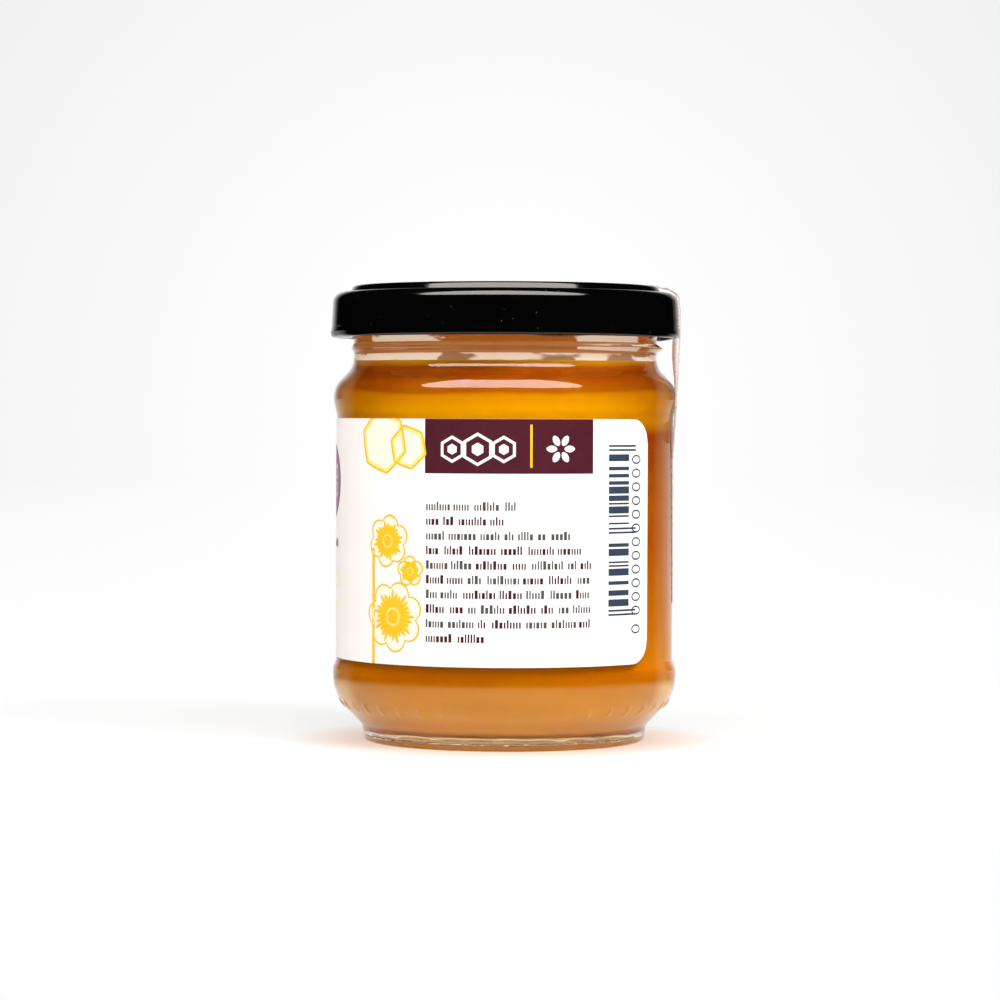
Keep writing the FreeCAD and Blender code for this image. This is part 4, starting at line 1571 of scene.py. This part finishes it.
@dataclass
class SealStrip:
    """The seal strip that runs from the lid's panel over its edge and down the glass."""

    film: float = 0.08
    columns: int = 31
    half_width: float = 4.5
    lean: float = 3.5
    start: float = 15.0
    off_surface: float = 0.02
    panel_radius: float = 24.3
    ring_inner: float = 25.9
    ring_outer: float = 28.8
    curl_height: float = 76.75
    ridge_radius: float = 32.5
    ridge_bottom: float = 63.2
    ridge_top: float = 64.4
    lands_radius: float = 31.85
    lands_height: float = 53.0
    curl: float = 0.85
    crumple: float = 0.18

    def __post_init__(self) -> None:
        """Takes the strip's ends and reach from its CAD node."""
        low, high = node_box("seal_strip")
        self.reach = float(high[0]) - 0.14
        self.bottom = float(low[2])
        self.top = float(high[2]) - 0.12

    def path(self) -> list[Corner]:
        """Corners of the strip's line in its upright plane, from the lid's panel down.

        Returns:
            Each corner as (radius, height, bend).
        """
        top = self.top
        return [
            (self.start, top - 1.1, 0.0),
            (self.panel_radius, top - 1.1, 1.4),
            (self.ring_inner, top, 0.9),
            (self.ring_outer, top, 0.6),
            (31.0, top - 0.75, 0.5),
            (32.5, top - 1.6, 0.6),
            (self.reach, top - 4.2, 2.0),
            (self.reach, self.curl_height, 0.8),
            (self.ridge_radius, self.ridge_top, 0.6),
            (self.ridge_radius, self.ridge_bottom, 0.6),
            (self.lands_radius, self.lands_height, 2.0),
            (self.lands_radius, self.bottom, 0.0),
        ]

    def build(self) -> None:
        """Makes the strip: its path is turned about the axis, and its width runs across it.

        A point's angle is the arcsine of its offset over its radius, so that the sides
        stay parallel. The offset grows with height by the tangent of the lean. The
        strip crumples over the lid's corner, and its near edge curls in under the lid.
        """
        line = rounded_outline(self.path(), 0.5, 8)
        run = np.gradient(line, axis=0)
        run /= np.linalg.norm(run, axis=1, keepdims=True)
        outward = np.stack([-run[:, 1], run[:, 0]], axis=1)
        length = np.concatenate([[0.0], np.cumsum(np.linalg.norm(np.diff(line, axis=0), axis=1))])
        share = np.linspace(-self.half_width, self.half_width, self.columns)
        tilt = math.radians(self.lean)
        shift = (line[:, 1] - self.bottom) * math.tan(tilt)
        across = share[None, :] / math.cos(tilt) - shift[:, None]
        corner = smooth_step(29.8, 31.0, line[:, 0])
        corner = corner * smooth_step(self.top - 3.6, self.top - 2.0, line[:, 1])
        along = length[:, None]
        folds = np.sin(share * 2.3 + along * 2.9) + np.sin(share * 4.1 - along * 1.7 + 1.0)
        lift = corner[:, None] * self.crumple * (1.0 + folds / 4.0)
        hang = smooth_step(64.8, 74.0, line[:, 1]) * (1.0 - smooth_step(76.0, 77.2, line[:, 1]))
        near = np.clip(-share / self.half_width, 0.0, 1.0) ** 2
        tuck = hang[:, None] * self.curl * near[None, :]
        faces = []
        for off in (self.off_surface + self.film, self.off_surface):
            reach = line[:, None, :] + outward[:, None, :] * (off + lift)[..., None]
            radius, height = reach[..., 0] - tuck, reach[..., 1]
            forward = np.sqrt(np.maximum(radius**2 - across**2, 0.0))
            faces.append(np.stack([forward, across, height], axis=-1))
        flat = np.stack(np.broadcast_arrays(share, along), axis=-1)
        ring = np.concatenate([faces[0], faces[1][:, ::-1]], axis=1)
        flats = np.concatenate([flat, flat[:, ::-1]], axis=1)
        strip = Surface.grid(ring, closed_across=True, flat=flats)
        columns = ring.shape[1]
        for row, turned in ((0, True), (len(line) - 1, False)):
            front = row * columns + np.arange(self.columns)
            rear = row * columns + columns - 1 - np.arange(self.columns)
            end = np.stack([front[:-1], rear[:-1], rear[1:], front[1:]], axis=1)
            strip.faces.append(end[:, ::-1] if turned else end)
            strip.slots.append(np.zeros(len(end), int))
        strip.piece("seal_strip_film", "seal_strip", Slot.SEAL, [SealFilm().material()])


# ------------------------------------------------------------------------------- studio


@dataclass
class Studio:
    """A pale floor, soft lamps, a pale world and the camera."""

    camera_distance: float = 0.65
    eye_height: float = 0.06174
    lens: float = 123.3
    pitch: float = 1.443
    yaw: float = 0.08
    roll: float = 0.2
    aim: Place = (0.0, 0.0, 0.05)
    floor_reach: float = 6.0
    floor: Colour = (0.9, 0.9, 0.9)
    warm_floor: Colour = linear(234, 176, 118)
    backdrop: float = 0.995
    backdrop_edge: float = 0.88
    fill: float = 0.5

    def add_floor(self) -> None:
        """Lays a large pale floor that keeps the jar's shadow."""
        share = np.linspace(-self.floor_reach, self.floor_reach, 9) / MM
        points = np.stack([*np.meshgrid(share, share), np.zeros((9, 9))], axis=-1)
        surface = Surface.grid(points)
        mesh = bpy.data.meshes.new("floor")
        mesh.from_pydata((surface.points * MM).tolist(), [], surface.faces[0].tolist())
        mesh.materials.append(self.floor_material())
        floor = bpy.data.objects.new("floor", mesh)
        bpy.context.scene.collection.objects.link(floor)

    def floor_material(self) -> bpy.types.Material:
        """A diffuse floor near the jar that glows white farther away and right under it.

        The glow is for the camera, gloss and glass only. The floor is warm round the foot,
        as from light through the honey, and dark behind the jar for gloss.

        Returns:
            The material.
        """
        nodes = Nodes("pale_floor")
        place = nodes.object_place()
        parts = nodes.add("SeparateXYZ", {0: place})
        away = nodes.add("VectorMath", {0: place}, operation="LENGTH").outputs["Value"]
        path = nodes.add("LightPath")
        near = nodes.spread(away, 0.026, 0.042, 1.0, 0.0)
        warm = nodes.math("MULTIPLY", near, path.outputs["Is Camera Ray"])
        pale = nodes.add("BsdfDiffuse", {"Color": nodes.mixed(warm, self.floor, self.warm_floor)})
        deep = nodes.math("ADD", parts.outputs["Y"], self.camera_distance)
        aside = nodes.math("DIVIDE", nodes.math("ABSOLUTE", parts.outputs["X"]), deep)
        beyond = nodes.spread(parts.outputs["Y"], 0.2, 2.5)
        fade = nodes.math("MULTIPLY", nodes.spread(aside, 0.05, 0.19), beyond)
        white = nodes.mixed(fade, (self.backdrop,) * 3, (self.backdrop_edge,) * 3)
        lit = nodes.add("Emission", {"Color": white, "Strength": 1.0})
        seen = nodes.math("ADD", path.outputs["Is Camera Ray"], path.outputs["Is Glossy Ray"])
        seen = nodes.math("ADD", seen, path.outputs["Is Transmission Ray"], clamp=True)
        outside = nodes.spread(away, 0.03, 0.18, 0.5, 1.0)
        beneath = nodes.spread(away, 0.021, 0.025, 0.9, 0.0)
        share = nodes.math("MULTIPLY", seen, nodes.math("MAXIMUM", outside, beneath))
        both = nodes.add("MixShader", {0: share, 1: pale.outputs[0], 2: lit.outputs[0]})
        dark = nodes.add("Emission", {"Color": (0.0, 0.0, 0.0), "Strength": 1.0})
        behind = nodes.spread(nodes.math("DIVIDE", parts.outputs["Y"], away), 0.68, 0.98, 1.0, 0.0)
        unlit = nodes.math("MULTIPLY", behind, nodes.spread(away, 0.075, 0.14))
        unseen = nodes.math("MULTIPLY", path.outputs["Is Glossy Ray"], unlit)
        ended = nodes.add("MixShader", {0: unseen, 1: both.outputs[0], 2: dark.outputs[0]})
        return nodes.finish(ended.outputs[0])

    def add_lamp(self, name: str, place: Place, size: tuple[float, float], power: float,
                 in_gloss: bool = False) -> None:
        """Adds a rectangular soft lamp that faces the jar.

        Args:
            name: The lamp's name.
            place: Where it hangs, in metres.
            size: Its width and depth in metres.
            power: Its power in watts.
            in_gloss: Shows it only in glossy surfaces, or else in none.
        """
        lamp = bpy.data.lights.new(name, "AREA")
        lamp.shape = "ELLIPSE" if in_gloss else "RECTANGLE"
        lamp.size, lamp.size_y = size
        lamp.energy = power
        lamp.color = (1.0, 0.96, 0.9) if in_gloss else (1.0, 0.99, 0.98)
        holder = bpy.data.objects.new(name, lamp)
        bpy.context.scene.collection.objects.link(holder)
        holder.matrix_world = looking_at(np.array(place), np.array(self.aim))
        holder.visible_glossy = in_gloss
        holder.visible_diffuse = not in_gloss

    def add_world(self) -> None:
        """Makes the world: white to the camera, pale behind the jar for gloss and glass."""
        nodes = Nodes("studio_world", world=True)
        place = nodes.add("TexCoord").outputs["Generated"]
        path = nodes.add("LightPath")
        upper = {"From Min": 0.84, "From Max": 0.99, "To Min": 0.0, "To Max": 1.0}
        depth = nodes.add("SeparateXYZ", {0: place}).outputs["Y"]
        behind = nodes.add("MapRange", {"Value": depth, **upper}, interpolation_type="SMOOTHSTEP")
        gloss_side = nodes.add("Background", {"Color": behind.outputs[0]})
        fill = nodes.add("Background", {"Color": (1.0, 0.99, 0.98), "Strength": self.fill})
        off_centre = nodes.add("VectorMath", {0: place, 1: (0.0, 1.0, 0.0)}, operation="DISTANCE")
        soften = nodes.spread(
            off_centre.outputs["Value"], 0.05, 0.19, self.backdrop, self.backdrop_edge
        )
        white = nodes.add("Background", {"Color": soften})
        shares = {0: path.outputs["Is Glossy Ray"], 1: fill.outputs[0], 2: gloss_side.outputs[0]}
        to_gloss = nodes.add("MixShader", shares)
        clear = nodes.math(
            "ADD", path.outputs["Is Camera Ray"], path.outputs["Is Transmission Ray"], clamp=True
        )
        ended = nodes.add("MixShader", {0: clear, 1: to_gloss.outputs[0], 2: white.outputs[0]})
        bpy.context.scene.world = nodes.finish(ended.outputs[0])

    def add_camera(self) -> None:
        """Sets the camera level with the upper label, tipped a little down."""
        camera = bpy.data.cameras.new("camera")
        camera.lens = self.lens
        camera.sensor_width = 36.0
        camera.clip_start = 0.01
        holder = bpy.data.objects.new("camera", camera)
        bpy.context.scene.collection.objects.link(holder)
        tip = Matrix.Rotation(math.radians(90.0 - self.pitch), 4, "X")
        turn = Matrix.Rotation(math.radians(self.yaw), 4, "Z")
        roll = Matrix.Rotation(math.radians(self.roll), 4, "Z")
        place = Matrix.Translation((0.0, -self.camera_distance, self.eye_height))
        holder.matrix_world = place @ turn @ tip @ roll
        bpy.context.scene.camera = holder

    def build(self) -> None:
        """Adds the floor, the lamps, the world and the camera."""
        self.add_floor()
        self.add_lamp("overhead_softbox", (-0.02, -0.36, 0.70), (1.4, 0.56), 18.0, True)
        self.add_lamp("overhead_spread", (0.0, -0.46, 0.70), (0.80, 0.42), 4.05)
        self.add_lamp("right_key", (0.62, -0.42, 0.62), (0.3, 0.3), 5.0)
        self.add_lamp("left_fill", (-0.6, -0.3, 0.6), (0.3, 0.3), 1.8)
        self.add_world()
        self.add_camera()
        bpy.context.scene.view_settings.view_transform = "Standard"


def looking_at(place: np.ndarray, aim: np.ndarray) -> Matrix:
    """Gives the matrix of an object at a place whose -Z axis points at an aim.

    Args:
        place: Where the object is.
        aim: The place that it faces.

    Returns:
        The matrix.
    """
    back = (place - aim) / np.linalg.norm(place - aim)
    side = np.cross([0.0, 0.0, 1.0], back)
    side /= np.linalg.norm(side)
    up = np.cross(back, side)
    rows = [[side[i], up[i], back[i], place[i]] for i in range(3)]
    return Matrix(rows + [[0.0, 0.0, 0.0, 1.0]])


def main() -> None:
    """Builds every sub-assembly in order."""
    logging.basicConfig(level=logging.INFO, format="%(message)s")
    glass = JarGlass()
    glass.build()
    Honey(glass).build()
    TwistLid().build()
    WrapLabel().build()
    SealStrip().build()
    Studio().build()


if __name__ == "__main__":
    main()
